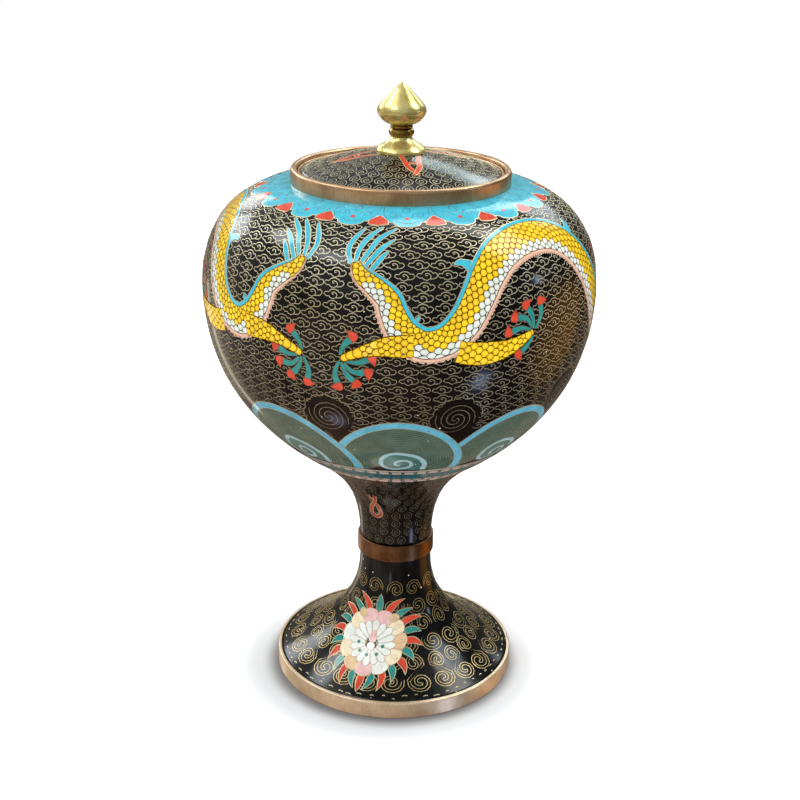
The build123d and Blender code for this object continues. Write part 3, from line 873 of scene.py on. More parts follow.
scalePlan = {
    "size": 1.75, "sizeGain": 0.11,  # mm across, and what each mm of the body's half width adds
    "limbHalf": 1.15, "rowStep": 0.8, "wire": 0.4,
    # the free edge of a scale, as shares of its size: along the body and to the side
    "edge": ((0, 0.5), (0.2, 0.5), (0.42, 0.46), (0.62, 0.36), (0.76, 0.19)), "tip": 0.81,
    "back": 0.35, "backSide": 0.4, "middle": 0.34,
}


def scaleCoat(zone, table, sheets, way, belly=0.0, extra=0.0):
    # overlapping scales, staggered row by row, free ends to the tail (way -1) or to the claw (way 1);
    # the share of the body from the belly edge up to "belly" scale widths is white
    u, row, base = 0.3, 0, levels["cell"] + extra
    arc = scalePlan["edge"]
    cell = arc + ((scalePlan["tip"], 0),) + tuple((x, -y) for x, y in arc[::-1])
    while u < table["run"][-1]:
        half = bodyPoint(table, u, 0)[1]
        if belly:
            size = scalePlan["size"] + scalePlan["sizeGain"] * half
            count = math.ceil(2 * half / size) + 1
        else:
            count = max(1, round(half / scalePlan["limbHalf"]))
            size = 2 * half / count
            count += row % 2 if count > 1 else 0
        stagger = 0.5 * (row % 2) if belly or count > 1 else 0
        for k in range(count):
            v = half - size * (k + 0.5 - stagger)
            if v < -half - 0.25 * size:
                continue
            tone = random.random()
            target = sheets["belly"] if v < -half + belly * size and u > 7 else sheets["gold"]
            rim = []
            for x, y in cell:
                side = min(max(v - way * y * size, -half), half)
                spot = bodyPoint(table, u + way * x * size, side)[0]
                rim.append((*spot, base - 0.02 + 0.04 * x, tone, 0.95))
            back = []
            for y in (-scalePlan["backSide"], scalePlan["backSide"]):
                side = min(max(v - way * y * size, -half), half)
                spot = bodyPoint(table, u - way * scalePlan["back"] * size, side)[0]
                back.append((*spot, base - 0.035, tone, 0.9))
            spot = bodyPoint(table, u + way * scalePlan["middle"] * size, min(max(v, -half), half))[0]
            loop, start = rim + back, len(target["verts"])
            for point in loop + [(*spot, base + 0.014, tone, 0.0)]:
                target["verts"].append(point[:3])
                target["uvs"].append(point[3:5])
            for j in range(len(loop)):
                target["faces"].append((start + j, start + (j + 1) % len(loop), start + len(loop)))
            wire(zone, sheets["scaleWire"], [p[:2] for p in rim], scalePlan["wire"], base + 0.045)
        u += size * scalePlan["rowStep"]
        row += 1


def strand(zone, sheets, colour, points, widest, lift=None, tip=0.1, root=0.45, edge=0.3):
    # a tapered lock of mane, plume or flame, with a wire along both edges
    lift = levels["cell"] if lift is None else lift
    line = smooth(zone, points, step=0.7)
    n = len(line) - 1
    half = []
    for i in range(n + 1):
        t = i / n
        swell = root + (1 - root) * math.sin(min(t / 0.6, 1) * math.pi / 2)
        half.append(widest / 2 * swell * (1 if t < 0.6 else 1 - (1 - tip) * ((t - 0.6) / 0.4) ** 1.6))
    band(zone, sheets[colour], line, half, [-h for h in half], lift)
    outlineBand(zone, sheets["wire"], line, half, edge, lift + 0.045)


def outlineBand(zone, sheet, line, half, width, crown):
    steps = sideways(zone, line)
    for side in (1, -1):
        wire(zone, sheet, beside(line, steps, [side * h for h in half]), width, crown)


def turned(points, degrees):
    c, s = math.cos(math.radians(degrees)), math.sin(math.radians(degrees))
    return [(x * c - y * s, x * s + y * c) for x, y in points]


def claw(sheets, ankle, turn):
    # five curled teal fingers with red hooked nails; the thumb hooks the other way
    lift = levels["cell"] + 0.02
    for i, finger in enumerate(dragon["fingers"]):
        path = turned(finger, turn)
        line = smooth(bowl, [at(bowl, ankle, x, y) for x, y in path], step=0.7)
        n = len(line) - 1
        half = [0.42 + 0.66 * min(1, k / (0.85 * n)) for k in range(n + 1)]
        band(bowl, sheets["teal"], line, half, [-h for h in half], lift)
        outlineBand(bowl, sheets["clawWire"], line, half, 0.26, lift + 0.045)
        (x0, y0), (x1, y1) = path[-2:]
        length, hook = math.dist((x0, y0), (x1, y1)), (-1 if i == 0 else 1)
        fx, fy = (x1 - x0) / length, (y1 - y0) / length
        nail = smooth(bowl, [at(bowl, ankle, x1 + x * fx - hook * y * fy, y1 + x * fy + hook * y * fx)
                             for x, y in dragon["nail"]], step=0.8, closed=True)
        edgedCell(bowl, sheets["coral"], sheets["clawWire"], nail, lift + 0.01, 0.28, 0.045, grid=1.4)


def dragonColours():
    return {name: newSheet() for name in (
        "bodyGround", "gold", "belly", "scaleWire", "wire", "clawWire", "turquoise", "teal", "coral", "pink",
        "white",
        "groundWire", "black", "cream", "goldFace")}


def drawDragon():
    sheets = dragonColours()
    table = spineTable(bowl, dragon["spine"])
    line, half = table["line"], [p[2] for p in table["line"]]
    top = levels["cell"] + 0.03
    grown = [min(1, i / 40 + 0.25) for i in range(len(line))]  # the fin and frill widen from the tail
    band(bowl, sheets["bodyGround"], line, half, [-h for h in half], lift=levels["cell"] - 0.03, columns=6)
    scaleCoat(bowl, table, sheets, way=-1, belly=1.5)
    fin = [h + dragon["finWidth"] * g for h, g in zip(half, grown)]
    frill = [-h - 1.0 * g for h, g in zip(half, grown)]
    band(bowl, sheets["turquoise"], line, fin, half, lift=top)
    band(bowl, sheets["pink"], line, [-h + 0.1 for h in half], frill, lift=top)
    run = table["run"]
    teeth = [f - 0.75 * abs((r / 1.4) % 1 - 0.5) * 2 * g for f, r, g in zip(frill, run, grown)]
    band(bowl, sheets["pink"], line, frill, teeth, lift=top - 0.01)
    seam = [-h + 0.1 for h in half]
    for offsets, width, name in ((half, 0.3, "scaleWire"), (fin, 0.34, "wire"), (seam, 0.3, "scaleWire"),
                                 (frill, 0.18, "scaleWire")):
        wire(bowl, sheets[name], beside(line, table["steps"], offsets), width, top + 0.04)
    for angle, size in dragon["spurs"]:
        i = next(k for k, p in enumerate(line) if p[0] >= angle)
        root = (line[i][0] + table["steps"][i][0] * fin[i], line[i][1] + table["steps"][i][1] * fin[i])
        scale = perDegree(bowl, root[1])
        outX, outY = table["steps"][i][0] * scale, table["steps"][i][1]
        spur = smooth(bowl, [at(bowl, root, size * (-x * outY + y * outX), size * (x * outX + y * outY))
                             for x, y in dragon["spur"]], step=0.8, closed=True)
        edgedCell(bowl, sheets["turquoise"], sheets["wire"], spur, levels["cell"], 0.28, 0.04, grid=1.4)
    for points in dragon["plume"]:
        strand(bowl, sheets, "turquoise", points, 1.6, lift=levels["cell"] - 0.01, tip=0.2, root=0.7, edge=0.34)
    for leg in dragon["legs"]:
        claw(sheets, leg["line"][-1][:2], leg["turn"])
        over = levels["over"]
        limb = spineTable(bowl, leg["line"])
        width = [p[2] for p in limb["line"]]
        band(bowl, sheets["bodyGround"], limb["line"], width, [-w for w in width], levels["cell"] - 0.03 + over,
             columns=4)
        scaleCoat(bowl, limb, sheets, way=1, extra=over)
        first = round(len(width) * 0.16)
        outlineBand(bowl, sheets["scaleWire"], limb["line"][first:], width[first:], 0.34,
                    levels["cell"] + over + 0.05)
    return sheets


# head, in mm from the middle of the skull; x towards the nose, y down
headPlan = {
    "spot": (134.0, 33.0),
    "skull": [(-5.4, 1.6), (-5.2, -2.2), (-3.0, -4.8), (-0.2, -5.6), (2.2, -4.6), (4.8, -3.2), (7.4, -3.6),
              (9.8, -4.8),
              (12.0, -3.8), (12.4, -1.6), (10.4, -0.4), (7.2, -0.2), (3.8, 0.6), (1.2, 2.2), (-1.6, 4.4),
              (-4.4, 4.6)],
    "jaw": [(-1.4, 4.6), (1.8, 3.2), (5.2, 3.4), (8.2, 3.0), (10.2, 1.8), (11.0, 3.0), (9.4, 5.2), (5.4, 6.8),
            (0.6, 7.2),
            (-3.0, 6.6)],
    "tongue": [(0.6, 2.9), (3.6, 2.0), (6.6, 1.4), (9.2, 0.8)],
    "brow": [(-2.4, -4.2), (0.4, -5.0), (2.8, -3.6), (4.4, -1.8)],
    "horns": [[(-2.4, -4.8), (-5.4, -8.2), (-9.6, -9.8), (-14.6, -9.0)],
              [(-0.4, -5.4), (-2.4, -9.8), (-6.0, -12.6), (-10.8, -13.4)]],
    "mane": [[(-4.6, -3.2), (-8.6, -5.8), (-13.0, -5.6), (-16.6, -7.4)],
             [(-5.2, -0.8), (-10.0, -2.6), (-14.4, -1.6), (-18.0, -3.4)],
             [(-5.0, 2.0), (-9.4, 1.4), (-13.6, 3.0), (-17.4, 1.8)],
             [(-4.2, 4.6), (-8.4, 5.4), (-12.0, 7.8), (-16.2, 7.2)],
             [(-2.4, 6.6), (-6.0, 8.8), (-9.0, 12.0), (-13.0, 12.6)]],
    "beard": [[(0.6, 7.0), (0.0, 10.0), (-2.2, 12.8)], [(3.6, 6.9), (3.8, 10.2), (2.2, 13.4)],
              [(6.6, 6.2), (7.6, 9.2), (7.0, 12.2)]],
    "whiskers": [[(10.6, -2.6), (13.2, -5.4), (12.6, -9.2), (9.0, -11.4), (7.6, -9.0)],
                 [(10.8, -1.8), (14.8, -1.4), (17.2, 1.6), (16.4, 5.2), (13.8, 5.2)]],
    "teeth": [(5.0, 0.2), (7.0, -0.2), (9.0, -0.3)],
    "eye": (1.4, -1.9),
    "nostril": [(8.8, -2.2), (9.8, -3.2), (10.8, -2.4), (10.0, -1.6), (9.4, -2.2)],
    "cheek": [(-1.2, 3.0), (-3.2, 2.0), (-3.0, -0.6), (-1.0, -0.8), (-0.8, 1.0), (-2.0, 1.0)],
}


def drawHead(sheets):
    spot = headPlan["spot"]
    lift = levels["cell"] + levels["over"]

    def put(points):
        return [at(bowl, spot, x, y) for x, y in points]

    for lock in headPlan["mane"]:
        strand(bowl, sheets, "teal", put(lock), 2.3, lift=lift - 0.02, tip=0.15, root=0.8)
    for lock in headPlan["beard"]:
        strand(bowl, sheets, "coral", put(lock), 1.5, lift=lift - 0.02, tip=0.15, root=0.9)
    for horn in headPlan["horns"]:
        strand(bowl, sheets, "cream", put(horn), 1.9, lift=lift + 0.02, tip=0.2, root=1.0)
    strand(bowl, sheets, "coral", put(headPlan["tongue"]), 1.5, lift=lift - 0.01, tip=0.3, root=0.8)
    for name in ("jaw", "skull"):
        outline = smooth(bowl, put(headPlan[name]), step=0.8, closed=True)
        edgedCell(bowl, sheets["goldFace"], sheets["scaleWire"], outline, lift, 0.36, 0.05, grid=2.0)
    for x, y in headPlan["teeth"]:
        tooth = put([(x - 0.55, y), (x + 0.55, y), (x + 0.1, y + 1.5)])
        edgedCell(bowl, sheets["white"], sheets["wire"], tooth, lift + 0.01, 0.2, 0.04, grid=1.0)
    strand(bowl, sheets, "turquoise", put(headPlan["brow"]), 1.7, lift=lift + 0.04, tip=0.3, root=0.7)
    for reach, sheet, step in ((1.45, "white", 0.02), (0.7, "black", 0.04)):
        eye = circle(bowl, spot, *headPlan["eye"], reach, reach, 12)
        edgedCell(bowl, sheets[sheet], sheets["wire"], eye, lift + step, 0.24, 0.04, grid=1.0)
    for name in ("nostril", "cheek"):
        wire(bowl, sheets["scaleWire"], smooth(bowl, put(headPlan[name])), 0.3, lift + 0.05)
    for whisker in headPlan["whiskers"]:
        wire(bowl, sheets["wire"], smooth(bowl, put(whisker)), 0.5, lift + 0.06)


pearlPlan = {"down": 40.0, "flames": 8, "inner": 3.6, "outer": (10.5, 8.0), "width": 2.2, "curl": 2.2}


def drawPearl(sheets):
    # the flaming pearl that the two dragons reach for
    spot = (dragon["meridian"] + 180, pearlPlan["down"])
    for k in range(pearlPlan["flames"]):
        turn = math.tau * k / pearlPlan["flames"] + 0.2
        inner, outer = pearlPlan["inner"], pearlPlan["outer"][k % 2]
        flame = [at(bowl, spot, r * math.cos(turn + bend), r * math.sin(turn + bend)) for r, bend in
                 ((inner, 0.0), ((inner + outer) / 2, 0.25), (outer, -0.05))]
        strand(bowl, sheets, "coral", flame, pearlPlan["width"], lift=levels["cell"] - 0.01, tip=0.1, root=0.9)
    for reach, colour, lift in ((4.6, "cream", 0.03), (3.2, "white", 0.05)):
        disc = circle(bowl, spot, 0, 0, reach, reach, 20)
        edgedCell(bowl, sheets[colour], sheets["wire"], disc, levels["cell"] + lift, 0.32, 0.05)
    curl = []
    for k in range(18):
        reach, turn = pearlPlan["curl"] * (1 - k / 20), k / 3
        curl.append(at(bowl, spot, reach * math.cos(turn), reach * math.sin(turn)))
    wire(bowl, sheets["wire"], curl, 0.26, levels["cell"] + 0.1)


cloud = {
    "across": 6.9, "rowGap": 3.35, "wire": 0.5, "top": 14.6, "low": 88.0,
    "parts": {"Shoulder": (0, 34), "Belly": (34, 58), "Lower": (58, 99)},  # made as three pieces, mm down
    # one bent wire, in mm: it starts as an inner curl and ends where it closes the cloud
    "line": [(0.15, 0.0), (-0.42, 0.0), (-0.5, -0.5), (0.1, -0.72), (0.9, -0.4), (1.3, 0.35), (0.94, 1.05),
             (-0.08, 1.52),
             (-1.1, 1.12), (-1.42, 0.66), (-2.3, 0.74), (-3.28, 0.05), (-2.8, -0.68), (-1.66, -0.64),
             (-1.34, -1.17),
             (-0.55, -1.6), (0.55, -1.62), (1.48, -1.24), (1.98, -0.66), (2.66, -0.9), (3.3, -0.35), (3.3, 0.2),
             (2.73, 0.86),
             (1.95, 1.05), (0.94, 1.05)],
}
seedCurl = {
    "across": 4.5, "rowGap": 4.4, "wire": 0.36, "lidSize": 0.95, "lidTop": 10.6,
    "stemGap": 3.6, "stemSize": 0.78, "stemTop": 6.4,
    # pointed oval with a curl inside, for the lid and the stem
    "line": [(-0.2, 0.45), (0.35, 0.75), (0.85, 0.05), (0.3, -0.65), (-0.55, -0.45), (-0.9, 0.5), (-0.45, 1.45),
             (0.2, 2.15),
             (1.5, 1.45), (2.05, 0.1), (1.5, -1.2), (0.1, -2.4), (-1.35, -1.35), (-2.05, 0.1), (-1.5, 1.5),
             (-0.3, 2.2)],
}
tendril = {
    "ribbon": 1.0, "wire": 0.44, "reach": 3.75, "inner": 0.75, "turns": 1.3, "apart": 3.5, "aside": 0.5,
    "start": -0.2,
    "steps": 16,
    "rows": [(46.0, 8.7, 1.12), (31.4, 8.5, 1.1), (17.4, 7.5, 0.95)],  # mm down, pitch round the foot, size
}


def tendrilLine(hand):
    # a ribbon of two wires, wound into a spiral at each end of an S, with rounded ends
    middle, reach, inner, steps = [], tendril["reach"], tendril["inner"], tendril["steps"]
    aside, apart, start, turns = tendril["aside"], tendril["apart"], tendril["start"], tendril["turns"]
    for k in range(steps + 1):
        out, turn = inner + (reach - inner) * k / steps, start + math.tau * turns * (1 - k / steps)
        middle.append((-aside + out * math.cos(turn), apart + out * math.sin(turn)))
    for k in range(steps + 1):
        out = reach - 0.3 - (reach - 0.3 - inner) * k / steps
        turn = math.pi + start + math.tau * (turns - 0.1) * k / steps
        middle.append((aside + out * math.cos(turn), -apart + out * math.sin(turn)))
    sides, half, last = ([], []), tendril["ribbon"] / 2, len(middle) - 1
    for i, point in enumerate(middle):
        p, q = middle[max(i - 1, 0)], middle[min(i + 1, last)]
        length = math.dist(p, q)
        x, y = (q[1] - p[1]) / length * half, -(q[0] - p[0]) / length * half
        sides[0].append((point[0] + x, point[1] + y))
        sides[1].append((point[0] - x, point[1] - y))
        if i in (0, last):
            back = -1 if i == 0 else 1
            sides[0].insert(0 if i == 0 else len(sides[0]), (point[0] - back * y, point[1] + back * x))
    line = sides[0] + sides[1][::-1] + [sides[0][0]]
    return [(hand * x, y) for x, y in line]


def motifObject(name, lines, width):
    sheet = newSheet()
    for line in lines:
        rows = []
        for i, point in enumerate(line):
            p, q = line[max(i - 1, 0)], line[min(i + 1, len(line) - 1)]
            length = math.dist(p, q) or 1
            x, y = (q[1] - p[1]) / length * width / 2, -(q[0] - p[0]) / length * width / 2
            rows.append([(point[0] + x, point[1] + y, levels["cloudCrown"] - 0.07), (*point, levels["cloudCrown"]),
                         (point[0] - x, point[1] - y, levels["cloudCrown"] - 0.07)])
        addStrip(sheet, rows)
    return helper(name, flatMesh(name, sheet))


def staggered(zone, top, low, rowGap, across, first=-180.0, uneven=0.25, size=1.0):
    # rows round the wall, each with as many motifs as fit its girth
    field, row = [], 0
    down = top
    while down < low:
        count = max(3, round(360 * perDegree(zone, down) / across))
        for k in range(count):
            angle = first + 360 * (k + 0.5 * (row % 2)) / count + random.uniform(-uneven, uneven)
            field.append((angle, down + random.uniform(-uneven, uneven) * 0.6, size))
        down += rowGap
        row += 1
    return field


whorlPlan = {
    "first": -20.4, "down": 80.6, "perTurn": 3.7, "inner": 0.35, "reach": 6.9, "start": 1.2, "bulge": 0.95,
    # lobed cloud edge over the curl, in mm from its middle, and the tail below it
    "edge": [(-6.6, 5.4), (-8.0, 1.6), (-7.6, -2.4), (-5.4, -6.0), (-2.0, -8.2), (2.2, -8.0), (5.2, -6.8),
             (7.8, -4.2), (8.4, 0.2)],
    "tail": [(-2.6, 7.4), (-1.2, 8.8), (-0.5, 10.2)],
}


def whorl(zone, sheet, spot):
    # a large double curl between two roundels
    for phase in (0, math.pi):
        line = []
        for k in range(31):
            reach = whorlPlan["inner"] + (whorlPlan["reach"] - whorlPlan["inner"]) * k / 30
            turn = phase + whorlPlan["start"] + math.tau * reach / whorlPlan["perTurn"]
            line.append(at(zone, spot, reach * math.cos(turn), reach * math.sin(turn)))
        wire(zone, sheet, line, cloud["wire"], levels["cloudCrown"])
    lobes = []
    for (x0, y0), (x1, y1) in zip(whorlPlan["edge"], whorlPlan["edge"][1:]):
        length = math.dist((x0, y0), (x1, y1))
        for k in range(8):
            share, bulge = k / 8, whorlPlan["bulge"] * math.sin(k / 8 * math.pi) ** 0.6
            lobes.append(at(zone, spot, x0 + (x1 - x0) * share + bulge * (y1 - y0) / length,
                            y0 + (y1 - y0) * share - bulge * (x1 - x0) / length))
    wire(zone, sheet, lobes, cloud["wire"], levels["cloudCrown"])
    wire(zone, sheet, smooth(zone, [at(zone, spot, x, y) for x, y in whorlPlan["tail"]]), cloud["wire"],
         levels["cloudCrown"])


def turnedSkin(name, zone, top, low, around, material, body):
    # the black enamel itself: outside, inside and both ends, one closed skin
    down = max(2, round((low - top) / 1.0))
    loop = [(top + (low - top) * k / down, 0.0) for k in range(down + 1)]
    loop += [(low + (top - low) * k / 24, -skin["thickness"]) for k in range(25)]
    rows = [[(360 * i / around, d, lift) for d, lift in loop + loop[:1]] for i in range(around)]
    sheet = newSheet()
    addStrip(sheet, rows, closed=True)
    return layOn(name, sheet, zone, material, body)


drawShoulder()
drawRoundels()
drawHem()
print("bowl bands drawn")
rightDragon = drawDragon()
drawHead(rightDragon)
leftDragon = {name: mirrored(sheet, dragon["meridian"]) for name, sheet in rightDragon.items()}
pearl = dragonColours()
drawPearl(pearl)
beasts = {}
for name in rightDragon:
    beasts[name] = joined(rightDragon[name], leftDragon[name], pearl.get(name, newSheet()))
print("dragons drawn")

for name, sheet in beasts.items():
    if sheet["faces"]:
        colourSheets[("bowl", name)] = joined(sheetFor("bowl", name), sheet)

# whorls between the roundels
whorls = newSheet()
whorlMasks = newSheet()
for i in range(roundel["count"]):
    spot = (whorlPlan["first"] + 360 / roundel["count"] * i - (2.5 if i == 1 else 0), whorlPlan["down"])
    whorl(bowl, whorls, spot)
    patch(bowl, whorlMasks, circle(bowl, spot, 0, 0, 8.3, 8.4, 24))
colourSheets[("bowl", "groundWire")] = joined(sheetFor("bowl", "groundWire"), whorls)


def coverOf(zoneName, extra=()):
    # every cell of a zone, for dropping ground wires that would lie under it
    sheets = [sheet for (zone, colour), sheet in colourSheets.items() if zone == zoneName and "ire" not in colour]
    return helper(zoneName + "Cells", flatMesh(zoneName + "Cells", joined(*sheets, *extra)))


foot = zones["foot"]
lotus = {
    "places": [(-19.5, 35.0), (160.5, 35.0)], "leaves": 22, "leafRoot": 12.2, "leafTip": 18.7, "leafWidth": 2.5,
    "petals": {"count": 11, "root": 6.4, "tip": 13.0, "width": 6.6},
    "heart": {"count": 16, "root": 2.4, "tip": 9.2, "width": 2.9},
    "petalTones": ("rose", "cream", "tan", "cream", "white", "rose", "tan", "cream", "white", "cream", "rose"),
    # leaf outlines: share of the length and of the half width
    "leaf": [(0.0, 0.55), (0.15, 0.95), (0.4, 1.0), (0.65, 0.8), (0.85, 0.42)],
    "broad": [(0.0, 0.35), (0.3, 0.75), (0.6, 1.0), (0.82, 0.85), (0.95, 0.45)],
    "slender": [(0.0, 0.35), (0.35, 0.75), (0.65, 1.0), (0.88, 0.7)],
    "drop": [(0, -5.2), (1.2, -3.4), (1.5, -1.8), (0.9, -0.6), (0, -0.2), (-0.9, -0.6), (-1.5, -1.8), (-1.2, -3.4)],
    "dots": [(-5.0, 0.5), (-3.6, 3.6), (-0.6, 4.6), (4.4, 0.6), (3.0, 3.8)],
    "peaches": ((-6.0, -10.2), (6.2, -10.2)),
}


def petalLine(spot, turn, root, tip, width, shape, bend=0.0):
    # closed outline; turn is its direction from the flower's middle, bend how far its tip leans to the side
    points = []
    for side in (1, -1):
        run = shape if side == 1 else [(1.0, 0.0)] + shape[::-1]
        for share, swell in run:
            reach, off = root + (tip - root) * share, side * width / 2 * swell
            lean = turn + bend * share * share
            points.append(at(foot, spot, reach * math.sin(lean) + off * math.cos(turn),
                             -reach * math.cos(lean) + off * math.sin(turn)))
    return smooth(foot, points, step=1.0, closed=True)


def drawLotus(spot):
    wires, cell = sheetFor("foot", "wire"), levels["cell"]

    def petal(colour, outline, lift, width=0.3, grid=1.6):
        edgedCell(foot, sheetFor("foot", colour), wires, outline, lift, width, 0.05, grid=grid)

    for i in range(lotus["leaves"]):
        turn = math.tau * i / lotus["leaves"]
        bend = 0.2 * (1 if 0 < turn < math.pi else -1) if i % 11 else 0
        tip = lotus["leafTip"] + (0.8 if i % 2 else -0.2)
        colour = "teal" if i % 2 == 0 else "coral"
        leaf = petalLine(spot, turn, lotus["leafRoot"], tip, lotus["leafWidth"], lotus["leaf"], bend)
        petal(colour, leaf, cell - 0.02, 0.32)
    broad, heart = lotus["petals"], lotus["heart"]
    for i in range(broad["count"]):
        turn = math.tau * (i + 0.5) / broad["count"]
        outline = petalLine(spot, turn, broad["root"], broad["tip"], broad["width"], lotus["broad"])
        petal(lotus["petalTones"][i], outline, cell)
        curl = []
        for k in range(12):
            bend, reach = k * 0.62 + 0.6, 1.0 - k * 0.035
            x, y = 0.85 * reach * math.cos(bend), 1.5 * reach * math.sin(bend)
            out = 10.4 + y
            curl.append(at(foot, spot, out * math.sin(turn) + x * math.cos(turn),
                           -out * math.cos(turn) + x * math.sin(turn)))
        wire(foot, wires, curl, 0.24, cell + 0.05)
    for i in range(heart["count"]):
        turn = math.tau * i / heart["count"]
        outline = petalLine(spot, turn, heart["root"], heart["tip"] - 0.5 * (i % 2), heart["width"],
                            lotus["slender"])
        edgedCell(foot, sheetFor("foot", "white"), sheetFor("foot", "clawWire"), outline, cell + 0.035, 0.2, 0.045,
                  grid=1.6)
    drop = smooth(foot, [at(foot, spot, x, y) for x, y in lotus["drop"]], step=0.8, closed=True)
    petal("rose", drop, cell + 0.06, 0.28, grid=1.2)
    for x, y, reach, colour in [(0, 1.1, 1.5, "white")] + [(*dot, 0.7, "teal") for dot in lotus["dots"]]:
        petal(colour, circle(foot, spot, x, y, reach, reach, 12), cell + 0.06, 0.22, grid=1.0)
    for x, y in lotus["peaches"]:
        # peach curls at the shoulders of the flower
        petal("tan", circle(foot, spot, x, y, 1.9, 1.6, 14), cell + 0.02, 0.28, grid=1.2)
        curl = []
        for k in range(13):
            turn = k * 0.7
            curl.append(at(foot, spot, x + (1.3 - k * 0.08) * math.cos(turn),
                           y + (1.1 - k * 0.07) * math.sin(turn)))
        wire(foot, wires, curl, 0.22, cell + 0.07)


for spot in lotus["places"]:
    drawLotus(spot)
# small gold dashes along the rim, in mm down and mm long to each side
rimDashes = {"count": 64, "down": (54.4, 55.9), "half": (0.3, 1.1), "uneven": 0.8}
for i in range(rimDashes["count"]):
    angle = 360 / rimDashes["count"] * i + random.uniform(-rimDashes["uneven"], rimDashes["uneven"])
    spot, half = (angle, random.uniform(*rimDashes["down"])), random.uniform(*rimDashes["half"])
    dash = [at(foot, spot, x, y) for x, y in ((-half, 0.1), (0, -0.15), (half, 0.1))]
    wire(foot, sheetFor("foot", "wire"), dash, 0.34)

stem, lid = zones["stem"], zones["lid"]
# ribbons in mm, each with its widest half width
lidFlame = {
    "places": [(14, 17), (104, 17.4), (194, 16.8), (-76, 17.2)], "colour": "coral",
    "ribbons": [
        ([(-2.2, -9.0), (-2.2, -4.0), (-2.1, 0.5), (-1.15, 4.0), (0.45, 6.8)], 0.85),
        ([(3.7, -7.5), (2.4, -3.0), (1.9, 1.0), (0.45, 4.0), (-1.4, 7.0)], 0.85),
        ([(-1.7, -1.4), (0.0, -1.8), (1.5, -1.4)], 0.7),
    ],
}
stemFlame = {
    "places": [(-27.5, 29), (92.5, 28.5), (212.5, 29.3)], "colour": "brick",
    "ribbons": [
        ([(1.4, -8.0), (0.6, -4.5), (-1.4, -1.0), (-1.9, 2.2), (0.0, 3.6), (1.8, 2.0), (1.2, -1.5), (-0.4, -4.8),
          (-1.6, -7.6)], 0.7),
    ],
}


def drawFlames(zone, zoneName, plan):
    sheets = {"fill": sheetFor(zoneName, plan["colour"]), "wire": sheetFor(zoneName, "wire")}
    for spot in plan["places"]:
        for i, (points, half) in enumerate(plan["ribbons"]):
            line = [at(zone, spot, x, y) for x, y in points]
            strand(zone, sheets, "fill", line, 2 * half, lift=levels["cell"] + 0.02 * i, tip=0.55, root=0.75)


drawFlames(lid, "lid", lidFlame)
drawFlames(stem, "stem", stemFlame)
stemHem = {"low": 3.4, "row": (0.9, 2.6), "dashes": 48, "dashShare": 0.7, "wires": (0.5, 3.0)}
over = levels["cell"]
stemTeal, stemRose, stemWires = sheetFor("stem", "deepTeal"), sheetFor("stem", "rose"), sheetFor("stem", "wire")
hoop(stemTeal, 0.05, stemHem["low"], over)
dashes(stem, stemRose, stemWires, *stemHem["row"], stemHem["dashes"], stemHem["dashShare"], over + 0.02)
for down in stemHem["wires"]:
    hoopWire(stem, stemWires, down, crown=over + 0.06)
print("foot, stem and lid drawn")

layers = {"bowl": "jar", "stem": "jar", "foot": "jar", "lid": "lid"}
# where each black ground starts and ends, how thick it is and how many sides it has
skin = {"thickness": 0.8, "bowlSides": 360, "stemSides": 220, "footSides": 300, "lidSides": 260}
footStart, footEnd, stemEnd = 3.2, foot["length"] - 1.35, stem["length"] - 3.2
lidStart, lidEnd = 7.9, lid["length"] - 0.85
grounds = {
    "bowl": turnedSkin("bowlGround", bowl, 0.02, bowl["length"] - 0.02, skin["bowlSides"], finish["ground"], "jar"),
    "stem": turnedSkin("stemGround", stem, 0.02, stemEnd, skin["stemSides"], finish["ground"], "jar"),
    "foot": turnedSkin("footGround", foot, footStart, footEnd, skin["footSides"], finish["wornGround"], "jar"),
    "lid": turnedSkin("lidGround", lid, lidStart, lidEnd, skin["lidSides"], finish["ground"], "lid"),
}
for name, piece in grounds.items():
    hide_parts(name + "_enamel")

motifs = {
    "cloud": motifObject("cloudMotif", [cloud["line"]], cloud["wire"]),
    "seed": motifObject("seedMotif", [seedCurl["line"]], seedCurl["wire"]),
    "right": motifObject("rightTendril", [tendrilLine(1)], tendril["wire"]),
    "left": motifObject("leftTendril", [tendrilLine(-1)], tendril["wire"]),
}
bowlCells = coverOf("bowl", [whorlMasks])
cut = dragon["meridian"] - 180
clouds = staggered(bowl, cloud["top"], cloud["low"], cloud["rowGap"], cloud["across"], first=cut)
for part, (high, low) in cloud["parts"].items():
    rows = [spot for spot in clouds if high <= spot[1] < low]
    repeatOn("bowlClouds" + part, rows, motifs["cloud"], bowlCells, bowl, finish["groundWire"], "jar", seed=7)
stemField = staggered(stem, seedCurl["stemTop"], stemEnd - 1.5, seedCurl["stemGap"], seedCurl["across"], uneven=0.2,
                      size=seedCurl["stemSize"])
repeatOn("stemClouds", stemField, motifs["seed"], coverOf("stem"), stem, finish["groundWire"], "jar", seed=3)
lidField = staggered(lid, seedCurl["lidTop"], lid["length"] - 2.6, seedCurl["rowGap"], seedCurl["across"],
                     size=seedCurl["lidSize"])
repeatOn("lidClouds", lidField, motifs["seed"], coverOf("lid"), lid, finish["groundWire"], "lid", seed=5)
footCells = coverOf("foot")
for hand, name in enumerate(("right", "left")):
    field = []
    for row, (down, across, size) in enumerate(tendril["rows"]):
        count = 2 * round(180 * perDegree(foot, down) / across)
        for k in range(hand, count, 2):
            angle = 360 * (k + 0.5 * (row % 2)) / count + random.uniform(-0.6, 0.6)
            field.append((angle, down + random.uniform(-0.4, 0.4), size))
    repeatOn("footTendrils" + name.capitalize(), field, motifs[name], footCells, foot, finish["footWire"], "jar",
             seed=9)
print("ground wires laid")

